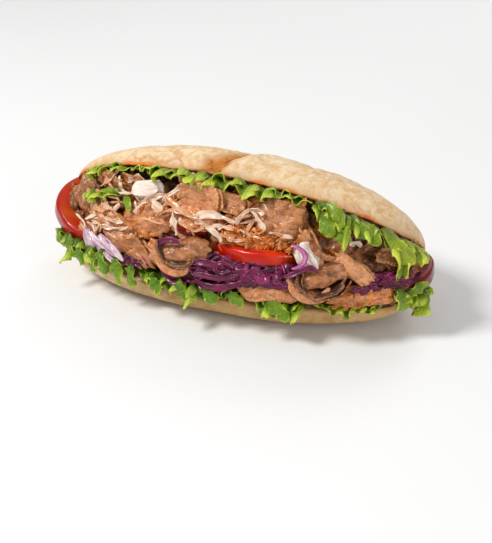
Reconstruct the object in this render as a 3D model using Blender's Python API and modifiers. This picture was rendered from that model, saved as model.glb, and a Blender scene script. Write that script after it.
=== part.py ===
"""A doner kebab sandwich: an oval loaf slit along its front and hinged at the back, filled with shaved
meat, lettuce, tomato, red cabbage and onion. Metres, +Z up, the mouth faces -Y, the loaf lies along X.

Places in the filling are given round the mouth: `around` is the angle in degrees from the left tip (-90)
over the front (0) to the right tip (90), `up` runs from the heel's lip (0) to the crown's lip (1), and
`out` is the distance in front of the mouth's face, or behind it, towards the hinge, where negative.
"""

import math

import bmesh
import bpy
import numpy as np
from mathutils import Matrix, Vector, noise

MM = 0.001

# The loaf before it was opened
HALF_LENGTH = 113 * MM
HALF_WIDTH = 49 * MM
HEEL_HEIGHT = 18.5 * MM
CROWN_HEIGHT = 26.5 * MM
CROWN_LOPSIDED = 0.10  # how much taller its right half is
PLAN_POWER = 2.2
CROWN_POWER = 2.3
HEEL_POWER = 3.2
CUT_HOLLOW = 2.5 * MM

# How it is opened
HINGE_Y = 46 * MM
HINGE_Z = HEEL_HEIGHT
OPENING = math.radians(44)
TWIST = math.radians(3)
DROOP_LEFT = 9.5 * MM
DROOP_RIGHT = 9 * MM
DROOP_POWER = 2.1

# The filling
BULGE = 8 * MM
SPINE_REACH = 0.8
SPINE_Y = 34 * MM
SPINE_Z = 26.5 * MM
GAP = 0.45 * MM

# Moves the whole sandwich so that the middle of its box stands over the origin
SEAT = Vector((-2.67 * MM, 4.19 * MM, 0.0))

SANDWICH = bpy.data.collections.new("doner_kebab_sandwich")
CUTTERS = bpy.data.collections.new("room_for_neighbours")


def signed_power(value, power):
    return np.sign(value) * np.abs(value) ** power


def unit(vectors):
    return vectors / np.maximum(np.linalg.norm(vectors, axis=-1, keepdims=True), 1e-12)


def stack(x, y, z):
    return np.stack(np.broadcast_arrays(x, y, z), axis=-1).astype(float)


def plan(around):
    """The loaf's outline seen from above, a superellipse."""
    angle = np.radians(around)
    x = HALF_LENGTH * signed_power(np.sin(angle), 2 / PLAN_POWER)
    y = -HALF_WIDTH * signed_power(np.cos(angle), 2 / PLAN_POWER)
    return x, y


def opened(points):
    """Turns points of the closed crown about the hinge, a little further on the left, and lets its ends droop."""
    share = points[..., 0] / HALF_LENGTH
    turn = OPENING - TWIST * share
    y = points[..., 1] - HINGE_Y
    z = points[..., 2] - HINGE_Z
    droop = np.where(share < 0, DROOP_LEFT, DROOP_RIGHT) * np.abs(share) ** DROOP_POWER
    return stack(
        points[..., 0],
        HINGE_Y + y * np.cos(turn) + z * np.sin(turn),
        HINGE_Z - y * np.sin(turn) + z * np.cos(turn) - droop,
    )


def heel_lip(around):
    x, y = plan(around)
    return stack(x, y, HEEL_HEIGHT)


def mouth_frame(around):
    """Where the two lips are, and the directions along the mouth, up it and out of it."""
    around = np.clip(around, -89.5, 89.5)
    step = 0.5
    heel, crown = heel_lip(around), opened(heel_lip(around))
    along = unit(heel_lip(around + step) - heel_lip(around - step))
    rise = unit(crown - heel)
    return heel, crown, along, rise, unit(np.cross(along, rise))


def mouth(around, up, out=0.0):
    """The point of the filling at that place round the mouth."""
    around, up, out = np.broadcast_arrays(*(np.asarray(v, float) for v in (around, up, out)))
    heel, crown, _, _, outward = mouth_frame(around)
    bulge = BULGE * np.sin(np.pi * np.clip(up, 0, 1))
    face = heel + (crown - heel) * up[..., None] + outward * bulge[..., None]
    spine = stack(SPINE_REACH * heel[..., 0], SPINE_Y, SPINE_Z)
    inward = unit(spine - face)
    return face + outward * np.maximum(out, 0)[..., None] + inward * np.maximum(-out, 0)[..., None]


def material(name, colour, roughness):
    made = bpy.data.materials.new(name)
    made.use_nodes = True
    shader = made.node_tree.nodes["Principled BSDF"]
    shader.inputs["Base Color"].default_value = (*colour, 1)
    shader.inputs["Roughness"].default_value = roughness
    shader.inputs["Metallic"].default_value = 0.0
    return made


def mesh_object(name, mesh, finish=None):
    made = bpy.data.objects.new(name, mesh)
    SANDWICH.objects.link(made)
    if finish:
        mesh.materials.clear()
        mesh.materials.append(finish)
    return made


def baked(piece):
    """Applies the piece's modifiers, so that its mesh is what shows."""
    bpy.context.view_layer.update()
    graph = bpy.context.evaluated_depsgraph_get()
    mesh = bpy.data.meshes.new_from_object(piece.evaluated_get(graph))
    piece.modifiers.clear()
    piece.data = mesh
    return piece


def loft(name, rings, finish):
    """Joins closed rings of points, all of one length, and closes both ends with a point at their middles."""
    count = len(rings[0])
    points = np.concatenate([rings[0].mean(0, keepdims=True), *rings, rings[-1].mean(0, keepdims=True)])
    faces = []
    for k in range(count):
        after = (k + 1) % count
        faces.append((0, 1 + after, 1 + k))
        for r in range(len(rings) - 1):
            first, second = 1 + r * count, 1 + (r + 1) * count
            faces.append((first + k, first + after, second + after, second + k))
        last = 1 + (len(rings) - 1) * count
        faces.append((last + k, last + after, len(points) - 1))
    mesh = bpy.data.meshes.new(name)
    mesh.from_pydata(points.tolist(), [], faces)
    shaped = bmesh.new()
    shaped.from_mesh(mesh)
    bmesh.ops.recalc_face_normals(shaped, faces=shaped.faces)
    shaped.to_mesh(mesh)
    shaped.free()
    return mesh_object(name, mesh, finish)


def sheet(name, place, across, deep, thickness, finish):
    """A thin wavy solid: a grid whose points are put where place(u, v) says, u and v from 0 to 1."""
    grid = bmesh.new()
    bmesh.ops.create_grid(grid, x_segments=across, y_segments=deep, size=0.5)
    uv = np.array([(v.co.x + 0.5, v.co.y + 0.5) for v in grid.verts])
    for vertex, at in zip(grid.verts, place(uv[:, 0], uv[:, 1])):
        vertex.co = at
    bmesh.ops.triangulate(grid, faces=grid.faces)
    mesh = bpy.data.meshes.new(name)
    grid.to_mesh(mesh)
    grid.free()
    made = mesh_object(name, mesh, finish)
    wall = made.modifiers.new("thickness", "SOLIDIFY")
    wall.thickness = thickness
    wall.offset = 0.0
    return baked(made)


# Bread

SLASHES = (
    # where it starts and ends on the closed crown (x, y), its depth, all in metres
    ((-12 * MM, -50 * MM), (42 * MM, 20 * MM), 3.4 * MM),
    ((42 * MM, -20 * MM), (92 * MM, 16 * MM), 1.8 * MM),
    ((-80 * MM, -12 * MM), (-30 * MM, 34 * MM), 2.0 * MM),
)
SLASH_HALF_WIDTH = 5.5 * MM
CRUST_BUMP = 0.7 * MM
CRUST_BUMP_SIZE = 24 * MM


def slash_relief(x, y):
    """How far the crust is raised at (x, y): a groove along each slash, with a lifted ear on its right side."""
    raised = np.zeros_like(x)
    for start, end, depth in SLASHES:
        start, end = np.array(start), np.array(end)
        length = np.linalg.norm(end - start)
        along = (end - start) / length
        side = np.array((along[1], -along[0]))
        across = (x - start[0]) * side[0] + (y - start[1]) * side[1]
        share = ((x - start[0]) * along[0] + (y - start[1]) * along[1]) / length
        fade = np.clip(share * 8 + 0.6, 0, 1) * np.clip((1 - share) * 5, 0, 1)
        groove = -depth * np.exp(-((across / SLASH_HALF_WIDTH) ** 2))
        ear = 0.5 * depth * np.exp(-(((across - 1.7 * SLASH_HALF_WIDTH) / SLASH_HALF_WIDTH) ** 2))
        raised += fade * (groove + ear)
    return raised


def crust_bumps(points, seed):
    return np.array([noise.noise(Vector(p) / CRUST_BUMP_SIZE + Vector((seed, 0, 0))) for p in points]) * CRUST_BUMP


def half_loaf(stations, arc_points, cut_points, height, power, down):
    """The rings of a half loaf along X: each is an arc of crust from front to back and a cut face back again."""
    rings = []
    for x in HALF_LENGTH * np.sin(np.linspace(-math.pi / 2, math.pi / 2, stations + 2)[1:-1]):
        shrink = (1 - abs(x / HALF_LENGTH) ** PLAN_POWER) ** (1 / PLAN_POWER)
        width = HALF_WIDTH * shrink
        tall = height * (1 - abs(x / HALF_LENGTH) ** 2.6) ** (1 / 2.2)
        if not down:
            tall *= 1 + CROWN_LOPSIDED * x / HALF_LENGTH
        turn = np.linspace(0, math.pi, arc_points)
        y = -width * signed_power(np.cos(turn), 2 / power)
        z = tall * signed_power(np.sin(turn), 2 / power)
        crust = stack(x, y, z)
        grow = np.sin(turn) ** 0.5
        lift = crust_bumps(crust, 3.0 if down else 0.0) * grow
        if not down:
            lift = lift + slash_relief(crust[:, 0], crust[:, 1]) * np.clip(z / (4 * MM), 0, 1)
        outward = unit(stack(0, y / width**2, z / tall**2))
        crust += outward * lift[:, None]
        back = np.linspace(1, -1, cut_points + 2)[1:-1]
        hollow = CUT_HOLLOW * shrink * (1 - back**2)
        cut = stack(x, back * width, hollow)
        ring = np.concatenate([crust, cut])
        if down:
            ring[:, 2] = np.maximum(HEEL_HEIGHT - ring[:, 2], 0)
        else:
            ring[:, 2] += HEEL_HEIGHT
        rings.append(ring)
    return rings


def bread(finish):
    """The heel, the crown opened over it and the crumb left uncut between them at the back, as one solid."""
    crown = loft(
        "bread", [opened(r) for r in half_loaf(36, 13, 3, CROWN_HEIGHT, CROWN_POWER, False)], finish
    )
    heel = loft("heel", half_loaf(24, 11, 3, HEEL_HEIGHT * 1.04, HEEL_POWER, True), finish)
    turn = np.linspace(0, 2 * math.pi, 9)[:-1]
    rings = []
    for x in np.linspace(-84, 84, 11) * MM:
        width = HALF_WIDTH * (1 - abs(x / HALF_LENGTH) ** PLAN_POWER) ** (1 / PLAN_POWER)
        thick = 8.5 * MM * (1 - abs(x / (92 * MM)) ** 3)
        rings.append(stack(x, width - 8 * MM + thick * np.cos(turn), HINGE_Z + 3 * MM + thick * np.sin(turn)))
    web = loft("web", rings, finish)
    return fused(crown, [heel, web])


def fused(piece, others):
    """One Boolean union of the piece with the others, applied."""
    gathered = bpy.data.collections.new("fused")
    for other in others:
        gathered.objects.link(other)
        SANDWICH.objects.unlink(other)
    bpy.context.scene.collection.children.link(gathered)
    union = piece.modifiers.new("union", "BOOLEAN")
    union.operation = "UNION"
    union.operand_type = "COLLECTION"
    union.collection = gathered
    baked(piece)
    for other in others:
        bpy.data.objects.remove(other)
    bpy.data.collections.remove(gathered)
    return piece


# Fitting the pieces to each other

FLAT = math.radians(2)
rooms = []


def box_of(piece):
    corners = np.array([v.co for v in piece.data.vertices])
    return corners.min(0), corners.max(0)


def boxes_meet(one, other):
    (low_a, high_a), (low_b, high_b) = one, other
    return bool((low_a <= high_b).all() and (low_b <= high_a).all())


def room_for(piece):
    """A swollen copy of the piece, which cuts its room out of whatever is fitted after it."""
    room = bpy.data.objects.new(piece.name + "_room", piece.data.copy())
    CUTTERS.objects.link(room)
    room.hide_render = True
    room.display_type = "WIRE"
    swell = room.modifiers.new("swell", "DISPLACE")
    swell.strength = GAP
    swell.mid_level = 0.0
    return room


def connected_faces(face, unseen):
    """Takes out of unseen the faces that can be reached from this one across edges, and returns them."""
    part, front = {face}, [face]
    while front:
        for edge in front.pop().edges:
            for beside in edge.link_faces:
                if beside in unseen:
                    unseen.discard(beside)
                    part.add(beside)
                    front.append(beside)
    return part


def keep_largest(piece):
    """Drops the loose scraps that trimming leaves."""
    shaped = bmesh.new()
    shaped.from_mesh(piece.data)
    unseen = set(shaped.faces)
    parts = []
    while unseen:
        parts.append(connected_faces(unseen.pop(), unseen))
    keep = max(parts, key=lambda part: sum(face.calc_area() for face in part))
    bmesh.ops.delete(shaped, geom=[f for f in shaped.faces if f not in keep], context="FACES")
    bmesh.ops.triangulate(shaped, faces=shaped.faces)
    shaped.to_mesh(piece.data)
    shaped.free()


def volume_if_closed(mesh):
    """The mesh's volume, or infinity if an edge of it hasn't exactly two faces."""
    shaped = bmesh.new()
    shaped.from_mesh(mesh)
    closed = all(len(edge.link_faces) == 2 for edge in shaped.edges)
    volume = shaped.calc_volume() if closed else math.inf
    shaped.free()
    return volume


def trim(piece, room):
    """Cuts the room out of the piece. A cut that leaves it open or larger is made again by another solver."""
    before = piece.data
    volume = volume_if_closed(before)
    for solver in ("EXACT", "MANIFOLD"):
        cut = piece.modifiers.new("trim", "BOOLEAN")
        cut.operation = "DIFFERENCE"
        cut.object = room
        cut.solver = solver
        baked(piece)
        keep_largest(piece)
        if volume_if_closed(piece.data) < volume * 1.02:
            return
        piece.data = before
    raise RuntimeError(f"{piece.name} can't be trimmed by {room.name}")


def merge_flat(piece):
    """Merges neighbouring faces that are flat to each other, if the mesh stays closed."""
    shaped = bmesh.new()
    shaped.from_mesh(piece.data)
    bmesh.ops.dissolve_limit(shaped, angle_limit=FLAT, verts=shaped.verts, edges=shaped.edges)
    bmesh.ops.triangulate(shaped, faces=shaped.faces)
    merged = bpy.data.meshes.new(piece.name)
    shaped.to_mesh(merged)
    shaped.free()
    if volume_if_closed(merged) < math.inf:
        merged.materials.append(piece.data.materials[0])
        piece.data = merged


def settle(piece):
    """Trims the piece where it would cross one that is already in place, and keeps room for it in the next."""
    room = room_for(piece)
    neighbours = [other for other in rooms if boxes_meet(box_of(piece), box_of(other))]
    for other in neighbours:
        trim(piece, other)
    if neighbours:
        merge_flat(piece)
    rooms.append(room)
    return piece


# Meat and onion: bent slices

SLICE_THICKNESS = 2.6 * MM
RAGGED = 0.15


def arc(share, length, bend):
    """A strip of that length bent through bend degrees: how far along and how far out it is at each share."""
    turn = math.radians(bend if abs(bend) > 1 else 1)
    radius = length / turn
    return radius * np.sin(turn * share), radius * (1 - np.cos(turn * share))


def slice_place(around, up, out, turn, tilt, size, bend, wave=0.0, seed=0.0):
    """The place function of a slice lying on the mouth's face.

    It is turned in the face, tipped about its length, and bent along and across; a positive bend lifts the
    ends towards the viewer. Its corners are rounded and its outline is uneven.
    """
    length, width = size
    middle = mouth(around, up, out)
    _, _, along, rise, outward = mouth_frame(float(around))
    turning, tipping = math.radians(turn), math.radians(tilt)
    e_long = along * math.cos(turning) + rise * math.sin(turning)
    e_wide = -along * math.sin(turning) + rise * math.cos(turning)
    e_wide, e_out = (
        e_wide * math.cos(tipping) + outward * math.sin(tipping),
        outward * math.cos(tipping) - e_wide * math.sin(tipping),
    )

    def place(u, v):
        s, t = 2 * u - 1, 2 * v - 1
        ragged = 1 + RAGGED * np.sin(5.1 * s + 2.3 * seed) * np.cos(7.7 * t + seed)
        s, t = s * np.sqrt(1 - 0.36 * t**2) * ragged, t * np.sqrt(1 - 0.36 * s**2) * ragged
        p, lift_long = arc(s / 2, length, bend[0])
        q, lift_wide = arc(t / 2, width, bend[1])
        ripple = wave * np.sin(4.3 * s + 1.9 * t + seed) * np.cos(3.1 * t - 1.3 * s + 2 * seed)
        lift = lift_long + lift_wide + ripple
        return middle + p[:, None] * e_long + q[:, None] * e_wide + lift[:, None] * e_out

    return place


MEAT_SLICES = {
    # name: around, up, out, turn, tilt, (length, width), (bend along, bend across), wave
    "doner_scoop_left": (-9, 0.28, 3, -14, -58, (39, 21), (150, 15), 0.5),
    "doner_scoop_right": (32, 0.22, 4, -8, -58, (42, 23), (145, 15), 0.5),
    "doner_slab_mid": (16, 0.15, 3, -4, -12, (36, 13), (-35, -40), 0.8),
    "doner_slab_right": (48, 0.20, 3, 2, -10, (38, 13), (-40, -40), 0.9),
    "doner_broad_right": (16, 0.745, 1, -8, 0, (34, 27), (-60, -45), 1.0),
    "doner_roll_top": (-4, 0.81, 2, -6, 12, (28, 19), (90, 40), 0.6),
    "doner_curl_top": (3, 0.80, 1, -14, -20, (20, 13), (60, 110), 0.6),
    "doner_mid_left": (-20, 0.56, 1, 16, 5, (32, 20), (-55, -40), 1.2),
    "doner_pulled_left": (-34, 0.48, 1, -20, 0, (38, 15), (-50, -40), 1.4),
    "doner_drape_left": (-27, 0.34, 2, -30, -6, (44, 14), (-50, -40), 1.2),
    "doner_saucy_mid": (8, 0.56, 0, -4, 0, (42, 12), (-50, -60), 1.4),
    "doner_pale_mid": (-5, 0.64, 2, -12, 6, (32, 12), (-50, -50), 1.2),
    "doner_strip_right": (42, 0.47, 4, -36, 10, (28, 10), (-20, -50), 0.6),
    "doner_edge_mid": (28, 0.58, 2, -58, 25, (26, 8), (30, 40), 0.5),
    "doner_curl_right": (57, 0.70, 3, -12, 0, (20, 11), (20, 140), 0.4),
    "doner_fold_left_end": (-51, 0.71, -0.5, 74, 8, (23, 15), (-50, 30), 1.1),
    "doner_fold_left_top": (-38, 0.85, 1, -8, 16, (24, 11), (-40, 60), 1.0),
    "doner_under_scoop": (-9, 0.17, 1, -8, 0, (22, 9), (-30, -50), 0.6),
    "doner_far_right": (66, 0.40, 2, 50, 0, (16, 10), (-30, -40), 0.5),
}

ONION_PIECES = {
    "onion_white_top": (-21, 0.83, 3, 10, 10, (19, 11), (-50, -30), 0.3),
    "onion_white_right": (27, 0.51, 3, -50, 10, (19, 12), (-40, -30), 0.3),
}
RED_ONION_PIECES = {
    "onion_red_left": (-34, 0.22, 3, -20, 0, (22, 11), (-40, -60), 0.3),
    "onion_red_far_left": (-46, 0.27, 3, -50, 0, (14, 9), (-40, -60), 0.3),
}


def bent_slice(name, facts, finish, thickness, across=6, deep=4):
    around, up, out, turn, tilt, size, bend, wave = facts
    seed = float(sum(map(ord, name)) % 17)
    place = slice_place(
        around, up, out * MM, turn, tilt, (size[0] * MM, size[1] * MM), bend, wave * MM, seed
    )
    return sheet(name, place, across, deep, thickness, finish)


ONION_RING = {
    # name: around, up, out of its middle; radius, width (mm); the angles it runs between
    "onion_red_ring": (22.5, 0.49, 7, 8, 3.2, -80, 95),
}


def onion_ring(name, facts, finish):
    """Part of a ring lying on the mouth's face, standing a little proud in the middle of its run."""
    around, up, out, radius, width, first, last = facts
    middle = mouth(around, up, out * MM)
    _, _, along, rise, outward = mouth_frame(float(around))

    def place(u, v):
        angle = np.radians(first + (last - first) * u)[:, None]
        reach = (radius + width * (v[:, None] - 0.5)) * MM
        proud = 2 * MM * np.cos(angle)
        return middle + reach * (np.cos(angle) * along + 0.8 * np.sin(angle) * rise) + proud * outward

    return sheet(name, place, 9, 2, 0.6 * SLICE_THICKNESS, finish)


# Tomato: thick round slices

TOMATOES = {
    # name: around, up and out of the middle of the rim that shows; radius, thickness (mm); sink, roll (degrees)
    "tomato_left": (-64, 0.36, 5, 30, 11, 4, -22),
    "tomato_mid": (12, 0.41, 6, 34, 9, 14, 1),
    "tomato_right": (77, 0.34, 4, 24, 10, 2, 8),
    "tomato_behind_left": (-8, 0.52, 0, 20, 7, 14, 0),
    "tomato_behind_right": (36, 0.40, 1, 18, 7, 12, -6),
}


def tomato_slice(name, facts, finish):
    """A disc with a rounded skin: a cylinder with its two rims bevelled, its rim lying in the mouth."""
    around, up, out, radius, thickness, sink, roll = facts
    _, _, along, _, outward = mouth_frame(float(around))
    level = unit(np.array((-outward[0], -outward[1], 0.0)))
    sinking, rolling = math.radians(sink), math.radians(roll)
    e_in = level * math.cos(sinking) - np.array((0.0, 0.0, math.sin(sinking)))
    e_up = unit(np.cross(along, e_in))
    e_along = np.cross(e_in, e_up)
    e_along, e_up = (
        e_along * math.cos(rolling) + e_up * math.sin(rolling),
        e_up * math.cos(rolling) - e_along * math.sin(rolling),
    )
    middle = mouth(around, up, out * MM) + e_in * radius * MM
    disc = bmesh.new()
    bmesh.ops.create_cone(
        disc, cap_ends=True, segments=22 if radius > 22 else 16, radius1=radius * MM, radius2=radius * MM, depth=thickness * MM
    )
    rims = [e for e in disc.edges if abs(e.verts[0].co.z - e.verts[1].co.z) < 1e-6]
    bmesh.ops.bevel(disc, geom=rims, offset=0.32 * thickness * MM, segments=2, affect="EDGES", profile=0.5)
    stand = Matrix((e_along, e_in, e_up)).transposed().to_4x4()
    stand.translation = Vector(middle)
    bmesh.ops.transform(disc, matrix=stand, verts=disc.verts)
    mesh = bpy.data.meshes.new(name)
    disc.to_mesh(mesh)
    disc.free()
    return mesh_object(name, mesh, finish)


# Red cabbage: a small heap with its shreds fused on

CABBAGES = {
    # name: around, up, out, (length, height, depth) of the heap in mm, turn, shreds
    "cabbage_mid": (8, 0.265, -1, (82, 20, 20), 1, 8),
    "cabbage_right": (57.3, 0.405, -0.8, (30, 11, 12), -4, 3),
    "cabbage_left": (-22.6, 0.185, 1.4, (17, 7, 8), -13, 2),
}
SHRED_THICKNESS = 1.1 * MM


def tube(name, points, radius, finish):
    """A strip along the points, square in section, as a closed mesh."""
    line = bpy.data.curves.new(name, "CURVE")
    line.dimensions = "3D"
    line.bevel_depth = radius
    line.bevel_resolution = 0
    line.use_fill_caps = True
    spline = line.splines.new("POLY")
    spline.points.add(len(points) - 1)
    for control, at in zip(spline.points, points):
        control.co = (*at, 1)
    guide = bpy.data.objects.new(name, line)
    SANDWICH.objects.link(guide)
    bpy.context.view_layer.update()
    mesh = bpy.data.meshes.new_from_object(guide.evaluated_get(bpy.context.evaluated_depsgraph_get()))
    bpy.data.objects.remove(guide)
    welded = bmesh.new()
    welded.from_mesh(mesh)
    bmesh.ops.remove_doubles(welded, verts=welded.verts, dist=1e-5)
    welded.to_mesh(mesh)
    welded.free()
    return mesh_object(name, mesh, finish)


def cabbage_heap(name, facts, finish):
    """A flattened lump in the mouth, with curved shreds lying on its front."""
    around, up, out, size, turn, shreds = facts
    half = np.array(size) * MM / 2
    middle = mouth(around, up, out * MM)
    _, _, along, rise, outward = mouth_frame(float(around))
    turning = math.radians(turn)
    axes = np.array(
        (along * math.cos(turning) + rise * math.sin(turning), -along * math.sin(turning) + rise * math.cos(turning), outward)
    )
    lump = bmesh.new()
    bmesh.ops.create_uvsphere(lump, u_segments=12, v_segments=7, radius=1.0)
    for vertex in lump.verts:
        share = np.array(vertex.co)
        uneven = 1 + 0.12 * math.sin(7 * share[0] + 2 * around) * math.cos(5 * share[1])
        vertex.co = middle + (share * half * uneven * 0.86) @ axes
    mesh = bpy.data.meshes.new(name)
    lump.to_mesh(mesh)
    lump.free()
    heap = mesh_object(name, mesh, finish)
    draw = np.random.default_rng(len(name) + shreds)
    strips = []
    for k in range(shreds):
        at = 0.86 * (2 * (k + 0.5) / shreds - 1)
        lean = draw.uniform(-0.5, 0.5)
        reach = draw.uniform(0.18, 0.3)
        rise_share = draw.uniform(-0.55, 0.55) * math.sqrt(1 - at**2)
        share = np.linspace(-1, 1, 5)
        local = stack(
            at + reach * share * math.cos(lean) * 0.9,
            rise_share + reach * share * math.sin(lean) * half[0] / half[1] * 0.5,
            0.0,
        )
        inside = np.clip(1 - local[:, 0] ** 2 - local[:, 1] ** 2, 0.05, 1)
        local[:, 2] = 0.86 * np.sqrt(inside) + 0.10 * (1 - share**2) + 0.02
        strips.append(tube(f"{name}_shred_{k}", middle + (local * half) @ axes, SHRED_THICKNESS, finish))
    return fused(heap, strips)


# Lettuce: frilled leaves

LEAF_THICKNESS = 0.9 * MM
LEAVES = {
    # name: around from, to; root depth (mm) and up; reach (mm); rim out (mm) and up; frills; frill height (mm)
    "lettuce_lower_left": (-87, -22, 6, 0.15, 5, 7, -0.05, 8, 3.6),
    "lettuce_lower_mid": (-20, 9, 6, 0.07, 5, 6, 0.0, 6, 3.0),
    "lettuce_lower_hanging": (13, 28, 6, 0.05, 9, 8, -0.18, 2, 3.2),
    "lettuce_lower_right": (31, 58, 6, 0.06, 5, 9, -0.01, 4, 1.9),
    "lettuce_lower_end": (60, 87, 6, 0.25, 9, 9, -0.04, 4, 4.0),
    "lettuce_upper_left": (-56, -31, 6, 1.0, 4, 6, 0.93, 4, 3.0),
    "lettuce_upper_mid": (-30, 26, 6, 1.0, 6, 8, 0.92, 9, 3.4),
    "lettuce_upper_right": (27, 50, 6, 0.99, 13, 11, 0.68, 3, 4.0),
    "lettuce_upper_end": (51, 76, 5, 0.97, 9, 10, 0.60, 3, 2.8),
    "lettuce_inner_left": (-48, -31, 6, 0.74, 6, 6, 0.66, 2, 3.0),
}


def leaf_place(facts, seed):
    """The place function of a leaf rooted in the filling.

    From root to rim it follows a curve in the plane of out and up; its ruffles stand square to that curve
    and grow towards the rim, which also wanders sideways, and its two ends are cut back to round lobes.
    """
    first, last, depth, up_root, reach, out_rim, up_rim, frills, frill = facts
    tall = float(np.linalg.norm(mouth(0, 1) - mouth(0, 0)))
    root = np.array((-depth * MM, (up_root + 0.03 * np.sign(0.5 - up_root)) * tall))
    lip = np.array((reach * MM, up_root * tall))
    rim = np.array((out_rim * MM, up_rim * tall))

    def place(u, v):
        swing = 2 * math.pi * frills * u + seed
        ends = 0.45 + 0.55 * np.clip(1 - np.abs(2 * u - 1) ** 6, 0, 1)
        lobes = 1 + 0.16 * np.sin(0.37 * swing + seed) + 0.10 * np.sin(0.81 * swing)
        v = (v * ends * lobes)[:, None]
        line = (1 - v) ** 2 * root + 2 * v * (1 - v) * lip + v**2 * rim
        heading = unit(2 * (1 - v) * (lip - root) + 2 * v * (rim - lip))
        square = stack(-heading[:, 1], heading[:, 0], 0.0)[:, :2]
        grow = v[:, 0] ** 1.7 * frill * MM * (1 + 0.25 * np.sin(0.53 * swing))
        line = line + square * (grow * np.sin(swing))[:, None] + heading * (0.2 * grow * np.cos(swing))[:, None]
        around = first + (last - first) * u
        return mouth(np.clip(around, -89.5, 89.5), line[:, 1] / tall, line[:, 0])

    return place


def leaf(name, facts, finish):
    seed = float(sum(map(ord, name)) % 13)
    across = 4 * facts[7] + 1
    return sheet(name, leaf_place(facts, seed), across, 3, LEAF_THICKNESS, finish)


# The heap of shaved meat behind everything that shows

HEAP_BACK_STEP = 7.5 * MM
HEAP_BUMP = 1.6 * MM
HEAP_REACH = 0.6


def meat_heap(finish):
    """Fills the mouth behind its face, with a lumpy front, and narrows towards the hinge."""
    rings = []
    for around in np.linspace(-84, 84, 17):
        front_up = np.linspace(0.09, 0.91, 6)
        lumps = HEAP_BUMP * np.sin(0.31 * around + 9 * front_up) * np.cos(0.17 * around - 7 * front_up)
        front = mouth(around, front_up, -HEAP_BACK_STEP + lumps)
        spine = np.array((SPINE_REACH * heel_lip(around)[0], SPINE_Y, SPINE_Z))
        back = front[[-1, 0]] + (spine - front[[-1, 0]]) * HEAP_REACH
        rings.append(np.concatenate([front, back]))
    return loft("doner_heap", rings, finish)


def main():
    for old in list(bpy.data.objects):
        bpy.data.objects.remove(old)
    bpy.context.scene.collection.children.link(SANDWICH)
    bpy.context.scene.collection.children.link(CUTTERS)
    crust = material("bread_crust", (0.83, 0.63, 0.40), 0.75)
    meat = material("roast_meat", (0.42, 0.22, 0.11), 0.5)
    tomato = material("tomato_flesh", (0.72, 0.07, 0.03), 0.25)
    cabbage = material("red_cabbage", (0.33, 0.04, 0.22), 0.35)
    onion = material("white_onion", (0.86, 0.82, 0.76), 0.3)
    red_onion = material("red_onion", (0.66, 0.38, 0.56), 0.3)
    green = material("lettuce", (0.30, 0.52, 0.07), 0.4)

    settle(bread(crust))
    for name, facts in TOMATOES.items():
        settle(tomato_slice(name, facts, tomato))
    settle(meat_heap(meat))
    for name, facts in MEAT_SLICES.items():
        settle(bent_slice(name, facts, meat, SLICE_THICKNESS))
    for name, facts in ONION_PIECES.items():
        settle(bent_slice(name, facts, onion, 0.8 * SLICE_THICKNESS, 5, 3))
    for name, facts in RED_ONION_PIECES.items():
        settle(bent_slice(name, facts, red_onion, 0.8 * SLICE_THICKNESS, 5, 3))
    for name, facts in ONION_RING.items():
        settle(onion_ring(name, facts, red_onion))
    for name, facts in LEAVES.items():
        settle(leaf(name, facts, green))
    for name, facts in CABBAGES.items():
        settle(cabbage_heap(name, facts, cabbage))
    for room in rooms:
        bpy.data.objects.remove(room)
    bpy.data.collections.remove(CUTTERS)
    for piece in SANDWICH.objects:
        piece.data.transform(Matrix.Translation(SEAT))
        piece.data.set_sharp_from_angle(angle=math.radians(40))


main()
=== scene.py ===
# %% [markdown]
# # Dressing a doner kebab sandwich
# The frame is a set of plain solids: a loaf, slices of meat, leaves, tomato, cabbage and onion. This
# lesson turns each of them into food, with torn edges, frills, fibres, crumb and gloss, and keeps every
# form where its solid is. It begins by loading the frame.

# %% The frame
import math

import bpy
import numpy as np
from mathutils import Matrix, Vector


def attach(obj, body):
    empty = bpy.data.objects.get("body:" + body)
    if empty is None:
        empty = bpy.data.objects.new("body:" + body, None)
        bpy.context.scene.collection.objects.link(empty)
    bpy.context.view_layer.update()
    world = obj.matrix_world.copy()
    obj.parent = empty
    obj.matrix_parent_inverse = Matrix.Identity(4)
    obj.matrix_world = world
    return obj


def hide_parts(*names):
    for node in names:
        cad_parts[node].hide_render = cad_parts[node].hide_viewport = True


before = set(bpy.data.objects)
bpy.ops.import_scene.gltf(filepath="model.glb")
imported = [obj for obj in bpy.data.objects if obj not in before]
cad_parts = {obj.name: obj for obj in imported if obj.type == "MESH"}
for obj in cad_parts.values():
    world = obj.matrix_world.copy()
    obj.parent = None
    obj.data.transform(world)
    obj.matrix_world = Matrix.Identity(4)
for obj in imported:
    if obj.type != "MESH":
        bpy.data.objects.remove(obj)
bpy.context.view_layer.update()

MM = 0.001

# %% [markdown]
# ## The camera and the light
# A long lens looks down at thirty degrees from a little to the right, as one looks at a snack on a table.
# The light is a bright even surround with one large soft lamp high on the left, which draws a gloss on
# wet things and leaves a soft shadow; two weaker lamps fill in from the right and from behind. Colours
# are shown as they are, without a film curve, so that pale bread stays pale.

# %% Camera and lamps
AZIMUTH, ELEVATION, DISTANCE = math.radians(20), math.radians(30), 0.8
MM_PER_PIXEL = 0.62  # at the sandwich
PHOTO_HEIGHT, SENSOR_MM = 543, 36  # the photo's longer side in pixels, and the side of the sensor it fills
SEAT = np.array((-2.67, 4.19, 0.0)) * MM  # how far the whole sandwich was moved to stand over the origin
AIM = SEAT + np.array((5, 0, 10)) * MM
SURROUND_COLOUR, SURROUND_STRENGTH = (1.0, 0.995, 0.985, 1), 0.41


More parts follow.
